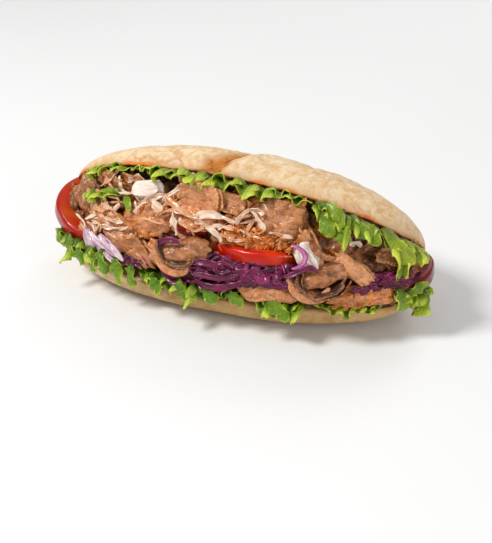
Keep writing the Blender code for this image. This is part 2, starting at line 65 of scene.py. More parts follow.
def aimed(name, data, place):
    """A camera or lamp at a place, with its -Z axis turned at the sandwich."""
    thing = bpy.data.objects.new(name, data)
    thing.location = place
    thing.rotation_mode = "QUATERNION"
    thing.rotation_quaternion = (Vector(AIM) - Vector(place)).to_track_quat("-Z", "Y")
    bpy.context.scene.collection.objects.link(thing)
    return thing


def soft_lamp(name, place, size, watts):
    """A round area lamp: the larger it is, the softer its shadow."""
    data = bpy.data.lights.new(name, "AREA")
    data.shape, data.size, data.energy = "DISK", size, watts
    return aimed(name, data, place)


towards_viewer = np.array(
    (
        math.sin(AZIMUTH) * math.cos(ELEVATION),
        -math.cos(AZIMUTH) * math.cos(ELEVATION),
        math.sin(ELEVATION),
    )
)
camera = aimed("camera", bpy.data.cameras.new("camera"), AIM + towards_viewer * DISTANCE)
camera.data.lens = DISTANCE * 1000 / MM_PER_PIXEL * SENSOR_MM / PHOTO_HEIGHT
bpy.context.scene.camera = camera
bpy.context.scene.view_settings.view_transform = "Standard"
soft_lamp("key_lamp", (-0.60, -0.50, 0.95), 0.36, 11.4)
soft_lamp("side_lamp", (0.9, -0.6, 0.45), 0.6, 3.2)
soft_lamp("back_lamp", (0.2, 0.9, 0.7), 0.7, 3.0)
surround = bpy.data.worlds.new("surround")
surround.use_nodes = True
background = surround.node_tree.nodes["Background"]
background.inputs["Color"].default_value = SURROUND_COLOUR
background.inputs["Strength"].default_value = SURROUND_STRENGTH
bpy.context.scene.world = surround
print("lens", round(camera.data.lens, 1), "mm")

# %% [markdown]
# ## Numbers for crust, fibres and frills
# Food has no smooth faces, so most shapes below add some uneven relief. Blender's noise can only be asked
# for one point at a time. Here the same kind of noise is worked out for whole arrays: random numbers on
# the corners of a lattice, blended smoothly in between, and several sizes of it added up.

# %% Noise on arrays
MIXERS = 374761393, 668265263, 1440662683, 3266489917  # large odd numbers, which stir the bits of a count
LAST_MIXER, BITS_32, BITS_16 = 1274126177, 0xFFFFFFFF, 0xFFFF


def unit(vectors):
    """Vectors brought to length one."""
    return vectors / np.maximum(np.linalg.norm(vectors, axis=-1, keepdims=True), 1e-12)


def stack(x, y, z):
    """Points from three arrays, or numbers, whose shapes fit together."""
    return np.stack(np.broadcast_arrays(x, y, z), axis=-1).astype(float)


def corner(i, j, k, seed):
    """A steady random number from -1 to 1 for each lattice corner: its three counts, stirred together."""
    mixed = sum(count * mixer for count, mixer in zip((i, j, k, seed), MIXERS)) & BITS_32
    mixed = ((mixed ^ (mixed >> 13)) * LAST_MIXER) & BITS_32
    return ((mixed ^ (mixed >> 16)) & BITS_16) / (BITS_16 / 2) - 1


def lumps(points, size, seed=0):
    """Noise from -1 to 1 with lumps of that size: eight corners round a point, blended by 3f^2 - 2f^3."""
    scaled = np.asarray(points, float) / size
    cell = np.floor(scaled)
    f = scaled - cell
    f = f * f * (3 - 2 * f)
    i, j, k = (cell[..., axis].astype(np.int64) for axis in range(3))
    total = 0
    for di in (0, 1):
        for dj in (0, 1):
            for dk in (0, 1):
                weight = (
                    (f[..., 0] if di else 1 - f[..., 0])
                    * (f[..., 1] if dj else 1 - f[..., 1])
                    * (f[..., 2] if dk else 1 - f[..., 2])
                )
                total = total + weight * corner(i + di, j + dj, k + dk, seed)
    return total


def rough(points, size, octaves=3, seed=0):
    """Lumps of one size, plus lumps half as large and half as high, and so on."""
    return sum(0.5**n * lumps(points, size / 2**n, seed + n) for n in range(octaves))


def jagged(position, size, seed):
    """The same noise along one line, for torn edges."""
    return rough(stack(position, 0.37, 0.71 + seed), size, 3, int(seed) + 5)


def seed_of(name, period=17):
    """A number of its own for each piece, worked out from the letters of its name."""
    return float(sum(map(ord, name)) % period)


def scattered(seed, count):
    """A seeded generator, and a function that draws that many numbers between two limits."""
    draw = np.random.default_rng(seed)
    return draw, lambda low, high: draw.uniform(low, high, count)


print("noise spans", np.round(np.ptp(lumps(np.random.default_rng(1).uniform(0, 9, (500, 3)), 1.0)), 2))

# %% [markdown]
# ## From arrays to a mesh
# A piece is one mesh made of one or more parts. Each part is an array of points, a list of arrays of
# faces, and marks: a number or three for every point, such as how close it lies to an edge. The materials
# read the marks as attributes, so that colour follows the form. A sheet, such as a leaf or a slice, is a
# grid of points that gets a front and a back half its thickness away along its normals, and a rim that
# joins them.

# %% Grids and sheets
VECTOR_MARKS = ("flat", "grain")  # coordinates that patterns follow; any other mark is one number a point


def filled(name, value, shape):
    """A mark that is given once, or once for each row, column or sheet, repeated over the whole shape."""
    return np.broadcast_to(value, shape + (3,) if name in VECTOR_MARKS else shape)


def grid_faces(rows, columns, around=False):
    """Four corners for every cell of a grid; `around` joins the last column to the first."""
    index = np.arange(rows * columns).reshape(rows, columns)
    if around:
        index = np.concatenate([index, index[:, :1]], axis=1)
    corners = (index[:-1, :-1], index[:-1, 1:], index[1:, 1:], index[1:, :-1])
    return np.stack(corners, axis=-1).reshape(-1, 4)


def sheet(middle, thickness, **marks):
    """Closed sheets from a grid of middle points, shaped (rows, columns, 3), or from several such grids.

    The normal is across x down, worked out from neighbouring points. The front is the middle plus half the
    thickness along it and the back is the middle minus that half; the rim runs once round the grid.
    """
    middle = middle.reshape((-1,) + middle.shape[-3:])
    shape = middle.shape[:3]
    count, rows, columns = shape
    across, down = np.gradient(middle, axis=2), np.gradient(middle, axis=1)
    normal = unit(np.cross(across, down))
    half = np.broadcast_to(thickness, shape)[..., None] / 2
    points = np.stack([middle + normal * half, middle - normal * half], axis=1).reshape(-1, 3)
    each = rows * columns
    front = grid_faces(rows, columns)
    index = np.arange(each).reshape(rows, columns)
    loop = np.concatenate([index[0, :-1], index[:-1, -1], index[-1, :0:-1], index[:0:-1, 0]])
    after = np.roll(loop, -1)
    rim = np.stack([after, loop, loop + each, after + each], axis=1)
    one = np.concatenate([front, front[:, ::-1] + each, rim])
    faces = (one[None] + (np.arange(count) * 2 * each)[:, None, None]).reshape(-1, 4)
    values = {}
    for name, value in marks.items():
        value = filled(name, value, shape)
        values[name] = np.stack([value, value], axis=1).reshape((-1,) + value.shape[3:])
    return points, [faces], values


print("a sheet of 3 by 4 points has", len(sheet(np.zeros((3, 4, 3)), 1.0)[1][0]), "faces")

# %% [markdown]
# Bread, tomato and strips of cabbage are thicker. They are bodies made of rings of points, one after
# another along a length, with one more point at each end, in the middle of the ring there, so that they
# are closed.

# %% Bodies from rings
def with_ends(rings):
    """All points of the rings, then the mean of the first ring and of the last one."""
    tail = rings.shape[3:]
    ends = [rings[:, :1].mean(2), rings[:, -1:].mean(2)]
    return np.concatenate([rings.reshape((len(rings), -1) + tail), *ends], axis=1).reshape((-1,) + tail)


def tube_body(rings, **marks):
    """Closed bodies from rings shaped (rings, points round, 3), or from several such sets of rings."""
    rings = rings.reshape((-1,) + rings.shape[-3:])
    shape = rings.shape[:3]
    count, length, around = shape
    points = with_ends(rings)
    each = len(points) // count
    side = grid_faces(length, around, around=True)
    ring = np.arange(around)
    beside = np.roll(ring, -1)
    low = np.stack([beside, ring, np.full(around, each - 2)], axis=1)
    high = np.stack([ring, beside, np.full(around, each - 1)], axis=1)
    high[:, :2] += (length - 1) * around
    shift = (np.arange(count) * each)[:, None, None]
    faces = [(side + shift).reshape(-1, 4), (low + shift).reshape(-1, 3), (high + shift).reshape(-1, 3)]
    return points, faces, {name: with_ends(filled(name, value, shape)) for name, value in marks.items()}


print("a body of 3 rings of 4 has", sum(map(len, tube_body(np.zeros((3, 4, 3)))[1])), "faces")

# %% [markdown]
# The parts are joined in one mesh, written with foreach_set, which takes a whole array at once. The piece
# is told that it rides on the root, as nothing in a sandwich moves, and the solids it stands for are hidden.

# %% Pieces
def piece(name, finish, parts, nodes=(), turned=False):
    """One mesh object from its parts, moved to the sandwich's place; `turned` turns its faces outwards."""
    points, corners, counts, start = [], [], [], 0
    for places, faces, _ in parts:
        for group in faces:
            group = group[:, ::-1] if turned else group
            corners.append((group + start).ravel())
            counts.append(np.full(len(group), group.shape[1]))
        points.append(places)
        start += len(places)
    points, corners, counts = np.concatenate(points) + SEAT, np.concatenate(corners), np.concatenate(counts)
    mesh = bpy.data.meshes.new(name)
    mesh.vertices.add(len(points))
    mesh.vertices.foreach_set("co", points.ravel())
    mesh.loops.add(len(corners))
    mesh.loops.foreach_set("vertex_index", corners.astype(np.int32))
    mesh.polygons.add(len(counts))
    mesh.polygons.foreach_set("loop_start", (np.cumsum(counts) - counts).astype(np.int32))
    mesh.update(calc_edges=True)
    for mark in sorted({mark for part in parts for mark in part[2]}):
        kind, key = ("FLOAT_VECTOR", "vector") if mark in VECTOR_MARKS else ("FLOAT", "value")
        values = [marks.get(mark, filled(mark, 0.0, places.shape[:1])) for places, _, marks in parts]
        layer = mesh.attributes.new(mark, kind, "POINT")
        layer.data.foreach_set(key, np.concatenate(values).astype(np.float32).ravel())
    mesh.shade_smooth()
    mesh.materials.append(finish.material)
    made = bpy.data.objects.new(name, mesh)
    bpy.context.scene.collection.objects.link(made)
    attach(made, "root")
    if nodes:
        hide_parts(*nodes)
    print(f"{name}: {int((counts - 2).sum())} triangles")
    return made


print("pieces ride on the root")

# %% [markdown]
# ## Materials as sums
# A material is a recipe of numbers that change over a surface. Writing it as wires between boxes is slow
# to read, so a small class lets sockets be added and multiplied like numbers. Colours are given as a
# screen shows them, which is how one reads them off a thing, and turned into the numbers that Blender
# works with.

# %% Sockets with arithmetic
class Value:
    """A socket in a material; arithmetic on it adds Math nodes."""

    def __init__(self, finish, socket):
        self.finish, self.socket = finish, socket

    def _sum(self, operation, *values, clamp=False):
        settings = {"operation": operation, "use_clamp": clamp}
        return self.finish.node("ShaderNodeMath", settings, dict(enumerate(values)))

    def __add__(self, other):
        return self._sum("ADD", self, other)

    __radd__ = __add__

    def __mul__(self, other):
        return self._sum("MULTIPLY", self, other)

    __rmul__ = __mul__

    def __sub__(self, other):
        return self._sum("SUBTRACT", self, other)

    def __rsub__(self, other):
        return self._sum("SUBTRACT", other, self)

    def limited(self):
        """The same number, kept from 0 to 1."""
        return self._sum("ADD", self, 0.0, clamp=True)

    def between(self, low, high):
        """0 below low, 1 above high and a smooth step in between."""
        return self.finish.node(
            "ShaderNodeMapRange",
            {"interpolation_type": "SMOOTHSTEP", "clamp": True},
            {"Value": self, "From Min": low, "From Max": high},
        )


def shade(red, green, blue):
    """A screen colour, 0 to 255, made linear: ((c + 0.055) / 1.055)^2.4, or c / 12.92 where it is dark."""
    screen = np.array((red, green, blue)) / 255
    linear = np.where(screen <= 0.04045, screen / 12.92, ((screen + 0.055) / 1.055) ** 2.4)
    return (*linear.tolist(), 1.0)


print("middle grey", np.round(shade(128, 128, 128)[0], 3), "in linear numbers")

# %% [markdown]
# A second class keeps one material and makes the boxes that are more than a sum: noise, cells, mixes and
# bumps. What is the same all over goes on the shader's own sockets, and only what varies is joined to
# them.

# %% Finishes
class Finish:
    """One material; its constants are named after the shader's sockets, with _ for each space."""

    def __init__(self, name, **constants):
        self.material = bpy.data.materials.new(name)
        self.material.use_nodes = True
        self.tree = self.material.node_tree
        self.shader = self.tree.nodes["Principled BSDF"]
        for socket, value in constants.items():
            self.shader.inputs[socket.replace("_", " ")].default_value = value

    def node(self, kind, settings=None, sockets=None, out=0):
        """Any node: its settings first, then the values or links of its sockets."""
        made = self.tree.nodes.new(kind)
        for setting, value in (settings or {}).items():
            setattr(made, setting, value)
        for socket, value in (sockets or {}).items():
            if isinstance(value, Value):
                self.tree.links.new(value.socket, made.inputs[socket])
            else:
                made.inputs[socket].default_value = value
        return Value(self, made.outputs[out])

    def mark(self, name):
        """The number, or the vector, that the mesh keeps for each point under that name."""
        out = "Vector" if name in VECTOR_MARKS else "Fac"
        return self.node("ShaderNodeAttribute", {"attribute_name": name}, out=out)

    def noise(self, size, detail=3.0, at=None, warp=0.0):
        """Noise from 0 to 1 with lumps of that size in metres."""
        at = at or self.node("ShaderNodeTexCoord", out="Object")
        sockets = {"Vector": at, "Scale": 1 / size, "Detail": detail, "Roughness": 0.55, "Distortion": warp}
        return self.node("ShaderNodeTexNoise", {"noise_dimensions": "3D"}, sockets)

    def cells(self, size, feature="F1"):
        """Distance to the middle of the nearest cell, or to the nearest cell wall."""
        at = self.node("ShaderNodeTexCoord", out="Object")
        return self.node("ShaderNodeTexVoronoi", {"feature": feature}, {"Vector": at, "Scale": 1 / size})

    def stretched(self, name, scale):
        """A vector mark, with each axis scaled: a small number draws the pattern out along that axis."""
        return self.node("ShaderNodeVectorMath", {"operation": "MULTIPLY"}, {0: self.mark(name), 1: scale})

    def mix(self, share, one, other, blend="MIX"):
        """From one colour to the other by that share; a Mix node takes its two colours at inputs 6 and 7."""
        settings = {"data_type": "RGBA", "blend_type": blend, "clamp_factor": True}
        return self.node("ShaderNodeMix", settings, {0: share, 6: one, 7: other}, out=2)

    def darken(self, share, one, other):
        """The first colour times the second, by that share."""
        return self.mix(share, one, other, "MULTIPLY")

    def wear(self, **sockets):
        """Joins what varies over the surface to the shader."""
        for socket, value in sockets.items():
            self.tree.links.new(value.socket, self.shader.inputs[socket.replace("_", " ")])

    def bump(self, height, depth, strength=1.0):
        """A bump whose height runs from 0 to 1 over that depth in metres."""
        sockets = {"Height": height, "Distance": depth, "Strength": strength}
        self.wear(Normal=self.node("ShaderNodeBump", {}, sockets))


print("materials are sums of sockets")

# %% [markdown]
# ## The floor
# The ground is plain white. A wide pale square stands for it and carries only the soft shadow.

# %% Floor
FLOOR_REACH = 4
ground = Finish("pale_ground", Roughness=0.9, Specular_IOR_Level=0.1)
ground.wear(Base_Color=ground.mix(ground.noise(0.2, 2.0), shade(235, 235, 235), shade(238, 238, 238)))
floor_mesh = bpy.data.meshes.new("floor")
floor_corners = [(x * FLOOR_REACH, y * FLOOR_REACH, 0) for x, y in ((-1, -1), (1, -1), (1, 1), (-1, 1))]
floor_mesh.from_pydata(floor_corners, [], [(0, 1, 2, 3)])
floor_mesh.materials.append(ground.material)
floor = bpy.data.objects.new("floor", floor_mesh)
bpy.context.scene.collection.objects.link(floor)
print("floor laid,", 2 * FLOOR_REACH, "m wide")

# %% [markdown]
# ## The shape of the mouth
# Everything in the filling is placed round the mouth of the loaf, just as its solid was: `around` in
# degrees from the left tip (-90) over the front (0) to the right tip (90), `up` from the heel's lip (0)
# to the crown's lip (1), and `out` in metres in front of the mouth's face, or behind it towards the
# hinge. The same sums as the solids' keep each finished piece where its solid is.

# %% Places in the mouth
HALF_LENGTH, HALF_WIDTH = 113 * MM, 49 * MM
HEEL_HEIGHT, CROWN_HEIGHT = 18.5 * MM, 26.5 * MM
CROWN_LOPSIDED = 0.10
PLAN_POWER, CROWN_POWER, HEEL_POWER = 2.2, 2.3, 3.2
CUT_HOLLOW = 2.5 * MM
HINGE_Y, HINGE_Z = 46 * MM, HEEL_HEIGHT
OPENING, TWIST = math.radians(44), math.radians(3)
DROOP_LEFT, DROOP_RIGHT, DROOP_POWER = 9.5 * MM, 9 * MM, 2.1
BULGE, SPINE_REACH = 8 * MM, 0.8
SPINE_Y, SPINE_Z = 34 * MM, 26.5 * MM


def signed_power(value, power):
    """The power of a number's size, with the number's sign."""
    return np.sign(value) * np.abs(value) ** power


def opened(points):
    """Points of the closed crown turned about the hinge by OPENING - TWIST x / L, with drooping ends."""
    share = points[..., 0] / HALF_LENGTH
    turn = OPENING - TWIST * share
    y, z = points[..., 1] - HINGE_Y, points[..., 2] - HINGE_Z
    droop = np.where(share < 0, DROOP_LEFT, DROOP_RIGHT) * np.abs(share) ** DROOP_POWER
    return stack(
        points[..., 0],
        HINGE_Y + y * np.cos(turn) + z * np.sin(turn),
        HINGE_Z - y * np.sin(turn) + z * np.cos(turn) - droop,
    )


def heel_lip(around):
    """The loaf's outline from above: x and y are powers 2 / p of the sine and cosine, a superellipse."""
    angle = np.radians(around)
    x = HALF_LENGTH * signed_power(np.sin(angle), 2 / PLAN_POWER)
    return stack(x, -HALF_WIDTH * signed_power(np.cos(angle), 2 / PLAN_POWER), HEEL_HEIGHT)


def mouth_frame(around):
    """The two lips, and the directions along the mouth, up it and out of it."""
    around = np.clip(around, -89.5, 89.5)
    heel, crown = heel_lip(around), opened(heel_lip(around))
    along = unit(heel_lip(around + 0.5) - heel_lip(around - 0.5))
    rise = unit(crown - heel)
    return heel, crown, along, rise, unit(np.cross(along, rise))


def mouth(around, up, out=0.0):
    """The line from lip to lip bulged by a sine, then a step out along its normal or in to the hinge."""
    around, up, out = np.broadcast_arrays(*(np.asarray(v, float) for v in (around, up, out)))
    heel, crown, _, _, outward = mouth_frame(around)
    bulge = BULGE * np.sin(np.pi * np.clip(up, 0, 1))
    face = heel + (crown - heel) * up[..., None] + outward * bulge[..., None]
    inward = unit(stack(SPINE_REACH * heel[..., 0], SPINE_Y, SPINE_Z) - face)
    return face + outward * np.maximum(out, 0)[..., None] + inward * np.maximum(-out, 0)[..., None]


def rotated(one, other, angle):
    """Two directions square to each other, turned in their plane: the first goes towards the other."""
    return one * np.cos(angle) + other * np.sin(angle), other * np.cos(angle) - one * np.sin(angle)


def lay(around, up, out, turn, tilt):
    """Middles and directions of slices: turned in the mouth's face, then tipped about their length."""
    around, up, out, turn, tilt = np.broadcast_arrays(
        *(np.asarray(v, float) for v in (around, up, out, turn, tilt))
    )
    _, _, along, rise, outward = mouth_frame(around)
    e_long, e_wide = rotated(along, rise, np.radians(turn)[..., None])
    e_wide, e_out = rotated(e_wide, outward, np.radians(tilt)[..., None])
    return mouth(around, up, out), e_long, e_wide, e_out


MOUTH_TALL = float(np.linalg.norm(mouth(0, 1) - mouth(0, 0)))
print("mouth", round(MOUTH_TALL / MM), "mm tall in the middle")

# %% [markdown]
# ## The crust and the crumb
# The crust of such a loaf is pale gold under a dust of flour, and browner where it was slashed and along
# its lips. Those places are known from the form, so the meshes keep them as marks, and noise of several
# sizes breaks them up. The floury streaks run along the slashes, so their noise is drawn out that way, in
# coordinates that were kept from the closed loaf.

# %% Bread finish
bread = Finish(
    "golden_crust_and_crumb", Subsurface_Weight=0.06, Subsurface_Scale=0.003, Specular_IOR_Level=0.25
)
mottle, fine, grains = bread.noise(0.011, 4.0), bread.noise(0.0035, 4.0), bread.noise(0.0009, 3.0)
streaks = bread.noise(0.0032, 4.0, bread.stretched("flat", (1.0, 0.13, 0.5)))
baked, tan, sauce, crumb = bread.mark("toast"), bread.mark("tan"), bread.mark("sauce"), bread.mark("crumb")
floured = (mottle * 0.45 + streaks * 0.35 + fine * 0.6 + grains * 0.35).between(0.66, 1.06)
colour = bread.mix(floured, shade(212, 170, 116), shade(236, 215, 182))
# the heel's darker gold is partly painted shade: the shade that lies on the heel
heel_gold_and_shade = bread.mix(mottle.between(0.3, 0.7), shade(148, 106, 30), shade(180, 136, 52))
colour = bread.mix(tan * 0.85, colour, heel_gold_and_shade)
blotches = (mottle * 0.5 + fine * 0.6).between(0.60, 0.80)
toast = (baked * (0.40 + fine * 1.5) + blotches * 0.30).limited()
colour = bread.mix(toast, colour, shade(190, 120, 46))
scorch = (baked * fine * 2.0 + bread.mark("scorch")).between(0.75, 1.45)
colour = bread.mix(scorch, colour, shade(140, 76, 24))
pores_and_pore_shade = bread.cells(0.0021).between(0.1, 0.5)
# painted shade in the bubbles: the crumb is drawn darker near the middle of each cell
open_crumb = bread.mix(pores_and_pore_shade * 0.7 + fine * 0.3, shade(196, 150, 92), shade(242, 220, 176))
colour = bread.mix(crumb, colour, open_crumb)
soaked = (sauce * 1.5 * (0.35 + mottle * 1.2)).between(0.25, 0.8)
colour = bread.mix(soaked * 0.9, colour, bread.mix(fine, shade(196, 82, 18), shade(232, 138, 44)))
bread.wear(Base_Color=colour, Roughness=0.86 - soaked * 0.5 - toast * 0.12)
bread.bump(grains * 0.45 + fine * 0.6 + pores_and_pore_shade * crumb * 0.8, 0.0009, 0.9)
print("bread finish made")

# %% [markdown]
# ## The slashes
# The baker slashed the dough before it went into the oven, and each cut opened into a groove with browned
# flanks and a torn ear along one side. Both are worked out from how far a point of the crust lies across
# the slash, counted in half widths of the groove, so one function gives the relief and the browning.

# %% Slashes
SLASHES = (
    # where it starts and ends on the closed crown (x, y), its depth, how far it bows aside, how toasted
    ((-12 * MM, -50 * MM), (42 * MM, 20 * MM), 3.4 * MM, 3.5 * MM, 1.0),
    ((42 * MM, -20 * MM), (92 * MM, 16 * MM), 1.8 * MM, 0, 0.75),
    ((-80 * MM, -12 * MM), (-30 * MM, 34 * MM), 2.0 * MM, 0, 0.45),
)
SLASH_HALF_WIDTH = 5.5 * MM


def slash_relief(points):
    """Grooves exp(-|a|^2.4) across each slash with an ear beside it, and how toasted each place is."""
    raised, toasted = 0.0, 0.0
    wander = 1.3 * MM * rough(points, 9 * MM, 3, 11)
    for start, end, depth, bow, toast in SLASHES:
        start, end = np.array(start), np.array(end)
        length = np.linalg.norm(end - start)
        heading = (end - start) / length
        from_x, from_y = points[..., 0] - start[0], points[..., 1] - start[1]
        share = (from_x * heading[0] + from_y * heading[1]) / length
        bowed = bow * np.sin(math.pi * np.clip(share, 0, 1) ** 0.6)
        across = (from_x * heading[1] - from_y * heading[0] + wander - bowed) / SLASH_HALF_WIDTH
        fade = np.clip(share * 8 + 0.6, 0, 1) * np.clip((1 - share) * 5, 0, 1)
        groove = -np.exp(-(np.abs(across) ** 2.4))
        crease = np.exp(-(((across - 0.35) / 0.22) ** 2))
        ear = 0.5 * np.exp(-((across - 1.7) ** 2))
        tear = 0.10 * rough(points, 3 * MM, 2, 4) * np.exp(-((across - 0.8) ** 2))
        raised = raised + fade * depth * (groove + ear + tear - 0.30 * crease)
        spread = 0.85 + 0.35 * np.clip(share, 0, 1)
        band = 0.95 * np.exp(-((np.abs(across) / spread) ** 2.4)) + 0.6 * crease
        toasted = toasted + np.clip(fade * 1.4, 0, 1) * band * toast
    return raised, np.clip(toasted, 0, 1)


def flat_marks(points):
    """The closed loaf's coordinates, turned so that the first runs across the main slash."""
    heading = unit(np.array(SLASHES[0][1]) - np.array(SLASHES[0][0]))
    return stack(
        points[..., 0] * heading[1] - points[..., 1] * heading[0],
        points[..., 0] * heading[0] + points[..., 1] * heading[1],
        points[..., 2],
    )


print(len(SLASHES), "slashes, the deepest", round(max(row[2] for row in SLASHES) / MM, 1), "mm")

# %% [markdown]
# ## Half a loaf
# Each half is a loft along the loaf: a ring goes over the crust from front to back and returns along the
# cut, and the rings shrink towards both ends. The cut is hollowed a little and pitted by the bubbles of
# the crumb. A sculpted or displaced sphere would need the same numbers and would not fit the solid as
# closely.

# %% Half loaves
END_FALL, END_ROUND = 2.6, 2.2  # powers by which the height falls off towards the ends


def half_loaf(stations, arc_points, cut_points, height, power, lopsided):
    """A half loaf's crust and cut, with the crust's normals: superellipses scaled down towards both ends."""
    x = HALF_LENGTH * np.sin(np.linspace(-math.pi / 2, math.pi / 2, stations + 2)[1:-1])[:, None]
    share = np.abs(x / HALF_LENGTH)
    shrink = (1 - share**PLAN_POWER) ** (1 / PLAN_POWER)
    width = HALF_WIDTH * shrink
    tall = height * (1 + lopsided * x / HALF_LENGTH) * (1 - share**END_FALL) ** (1 / END_ROUND)
    turn = np.linspace(0, math.pi, arc_points)
    y, z = -width * signed_power(np.cos(turn), 2 / power), tall * signed_power(np.sin(turn), 2 / power)
    crust = stack(x, y, z)
    outward = unit(stack(0 * x, y / width**2, z / tall**2))
    back = np.linspace(1, -1, cut_points + 2)[1:-1]
    cut = stack(x, back * width, CUT_HOLLOW * shrink * (1 - back**2))
    return crust, outward, cut, np.sin(turn)[None, :] ** 0.5


def crumb_pits(cut):
    """Bubbles open to the cut: pits where noise passes a threshold, of two sizes, and a torn fine grain."""
    large = 1.5 * np.clip(lumps(cut, 4.5 * MM, 21) - 0.25, 0, 1)
    small = 0.9 * np.clip(lumps(cut, 2.2 * MM, 22) - 0.2, 0, 1)
    return (large + small + 0.25 * rough(cut, 2 * MM, 2, 23)) * MM


def lip_band(height, reach):
    """1 at the lip and exp(-height / reach) above it."""
    return np.exp(-np.maximum(height, 0) / reach)


def near(points, spots):
    """How close points of the closed crown lie to places on its lip, given as (around, reach in mm)."""
    total = 0.0
    for around, reach in spots:
        spot = heel_lip(np.array(around)) - (0, 0, HEEL_HEIGHT)
        total = total + np.exp(-((np.linalg.norm(points - spot, axis=-1) / (reach * MM)) ** 2))
    return np.clip(total, 0, 1)


def half_piece(name, ring, crust, cut, on_crust, on_cut, turned=False):
    """One half of the loaf, with each mark given for its crust and for its cut."""
    grids = ((crust, on_crust), (cut, on_cut))
    marks = {
        mark: np.concatenate([filled(mark, given[mark], grid.shape[:2]) for grid, given in grids], axis=1)
        for mark in on_crust
    }
    marks["flat"] = np.concatenate([flat_marks(crust), flat_marks(cut)], axis=1)
    return piece(name, bread, [tube_body(ring, **marks)], ["bread"], turned=turned)


print("the loaf is", round(2 * HALF_LENGTH / MM), "mm long")

# %% [markdown]
# ## The crown
# The crust of the upper half is lifted by low bumps, by the slashes, and by fine blisters and cracks.
# Then the whole is turned open about the hinge. Where sauce has touched its lip, a mark keeps the place.

# %% Crown
CROWN_SAUCE = ((-33, 10), (-23, 8), (-66, 9), (9, 6), (18, 6), (31, 7), (46, 7), (-84, 8))
crust, outward, cut, grow = half_loaf(340, 190, 60, CROWN_HEIGHT, CROWN_POWER, CROWN_LOPSIDED)
raised, toasted = slash_relief(crust)
steady = np.clip(crust[..., 2] / (4 * MM), 0, 1)
strayed = crust + 0.8 * MM * rough(crust, 4 * MM, 2, 31)[..., None]
crack = np.exp(-((lumps(strayed, 8 * MM, 32) / 0.07) ** 2))
crack = crack * np.clip(1.6 * lumps(crust, 30 * MM, 33) + 0.4, 0, 1)  # only here and there
blisters = 0.34 * rough(crust, 6.5 * MM, 4, 2) - 0.34 * crack * (1 - toasted)
torn_grain = 0.35 * rough(flat_marks(crust) * (1, 0.16, 0.5), 2.4 * MM, 3, 5) * toasted
lift = 0.7 * MM * lumps(crust, 24 * MM, 1) * grow + raised * steady
lift = lift + (blisters * (0.3 + 0.7 * steady) + torn_grain) * MM
crown_crust = crust + outward * lift[..., None]
crown_crust[..., 2] += 0.8 * MM * rough(crust, 12 * MM, 3, 6) * lip_band(crust[..., 2], 3 * MM)
crown_cut = cut.copy()
rim_share = lip_band(HALF_WIDTH * 0.9 - np.abs(cut[..., 1]), 6 * MM)
crown_cut[..., 2] += crumb_pits(cut) * 0.8 + 0.48 * MM * rough(cut, 12 * MM, 3, 6) * rim_share
ring = opened(np.concatenate([crown_crust, crown_cut], axis=1) + (0, 0, HEEL_HEIGHT))
on_crust = {
    "toast": np.clip(toasted + 0.75 * lip_band(crust[..., 2], 2.6 * MM) + 0.40 * crack, 0, 1),
    "scorch": np.clip(0.9 * lip_band(crust[..., 2], 1.2 * MM) * (0.8 + 0.7 * lumps(crust, 9 * MM, 8)), 0, 1),
    "sauce": near(crust, CROWN_SAUCE) * lip_band(crust[..., 2], 2.2 * MM),
    "crumb": 0.0,
    "tan": 0.02,
}
on_cut = {"toast": 0.2, "scorch": 0.0, "sauce": near(cut, CROWN_SAUCE), "crumb": 1.0, "tan": 0.0}
half_piece("bread_crown", ring, crust, cut, on_crust, on_cut, turned=True)

# %% [markdown]
# ## The heel and the hinge
# The lower half is the same kind of loft, upside down and flattened underneath where it lay in the oven:
# its floor is browner. Its crust is drawn a darker gold than the crown's, and darker still towards its
# bottom, which is partly painted shade.

# %% Heel
crust, outward, cut, grow = half_loaf(240, 104, 40, HEEL_HEIGHT * 1.04, HEEL_POWER, 0.0)
lift = (0.7 * lumps(crust, 24 * MM, 3) + 0.22 * rough(crust, 7 * MM, 4, 9)) * MM * grow
heel_crust = crust + outward * lift[..., None]
heel_crust[..., 2] += 0.6 * MM * rough(crust, 12 * MM, 3, 7) * lip_band(crust[..., 2], 3 * MM)
heel_cut = cut.copy()
heel_cut[..., 2] += crumb_pits(cut)
ring = np.concatenate([heel_crust, heel_cut], axis=1)
ring[..., 2] = np.maximum(HEEL_HEIGHT - ring[..., 2], 0)
depth = crust[..., 2] / HEEL_HEIGHT
left_pale = np.clip(-crust[..., 0] / (70 * MM) - 0.35, 0, 1) * np.clip(1.2 - depth, 0, 1)
on_crust = {
    "toast": np.clip(0.55 * lip_band(crust[..., 2], 2.2 * MM) + 0.45 * np.clip(depth * 4 - 3.2, 0, 1), 0, 1),
    "scorch": np.clip(depth * 5 - 4.2, 0, 1) * (0.45 + 0.5 * rough(crust, 16 * MM, 3, 12)),
    "sauce": 0.0,
    "crumb": 0.0,
    # this mark grows towards the bottom of the heel: painted shade
    "tan": np.clip(0.55 + 0.5 * depth - left_pale, 0, 1),
}
on_cut = {"toast": 0.15, "scorch": 0.0, "sauce": 0.25, "crumb": 1.0, "tan": 0.0}
half_piece("bread_heel", ring, crust, cut, on_crust, on_cut)

# %% [markdown]
# At the back the loaf wasn't cut through, and a rope of crust and crumb joins the halves. It is a body
# that follows the outline of the loaf, thick in the middle and thin towards both ends.

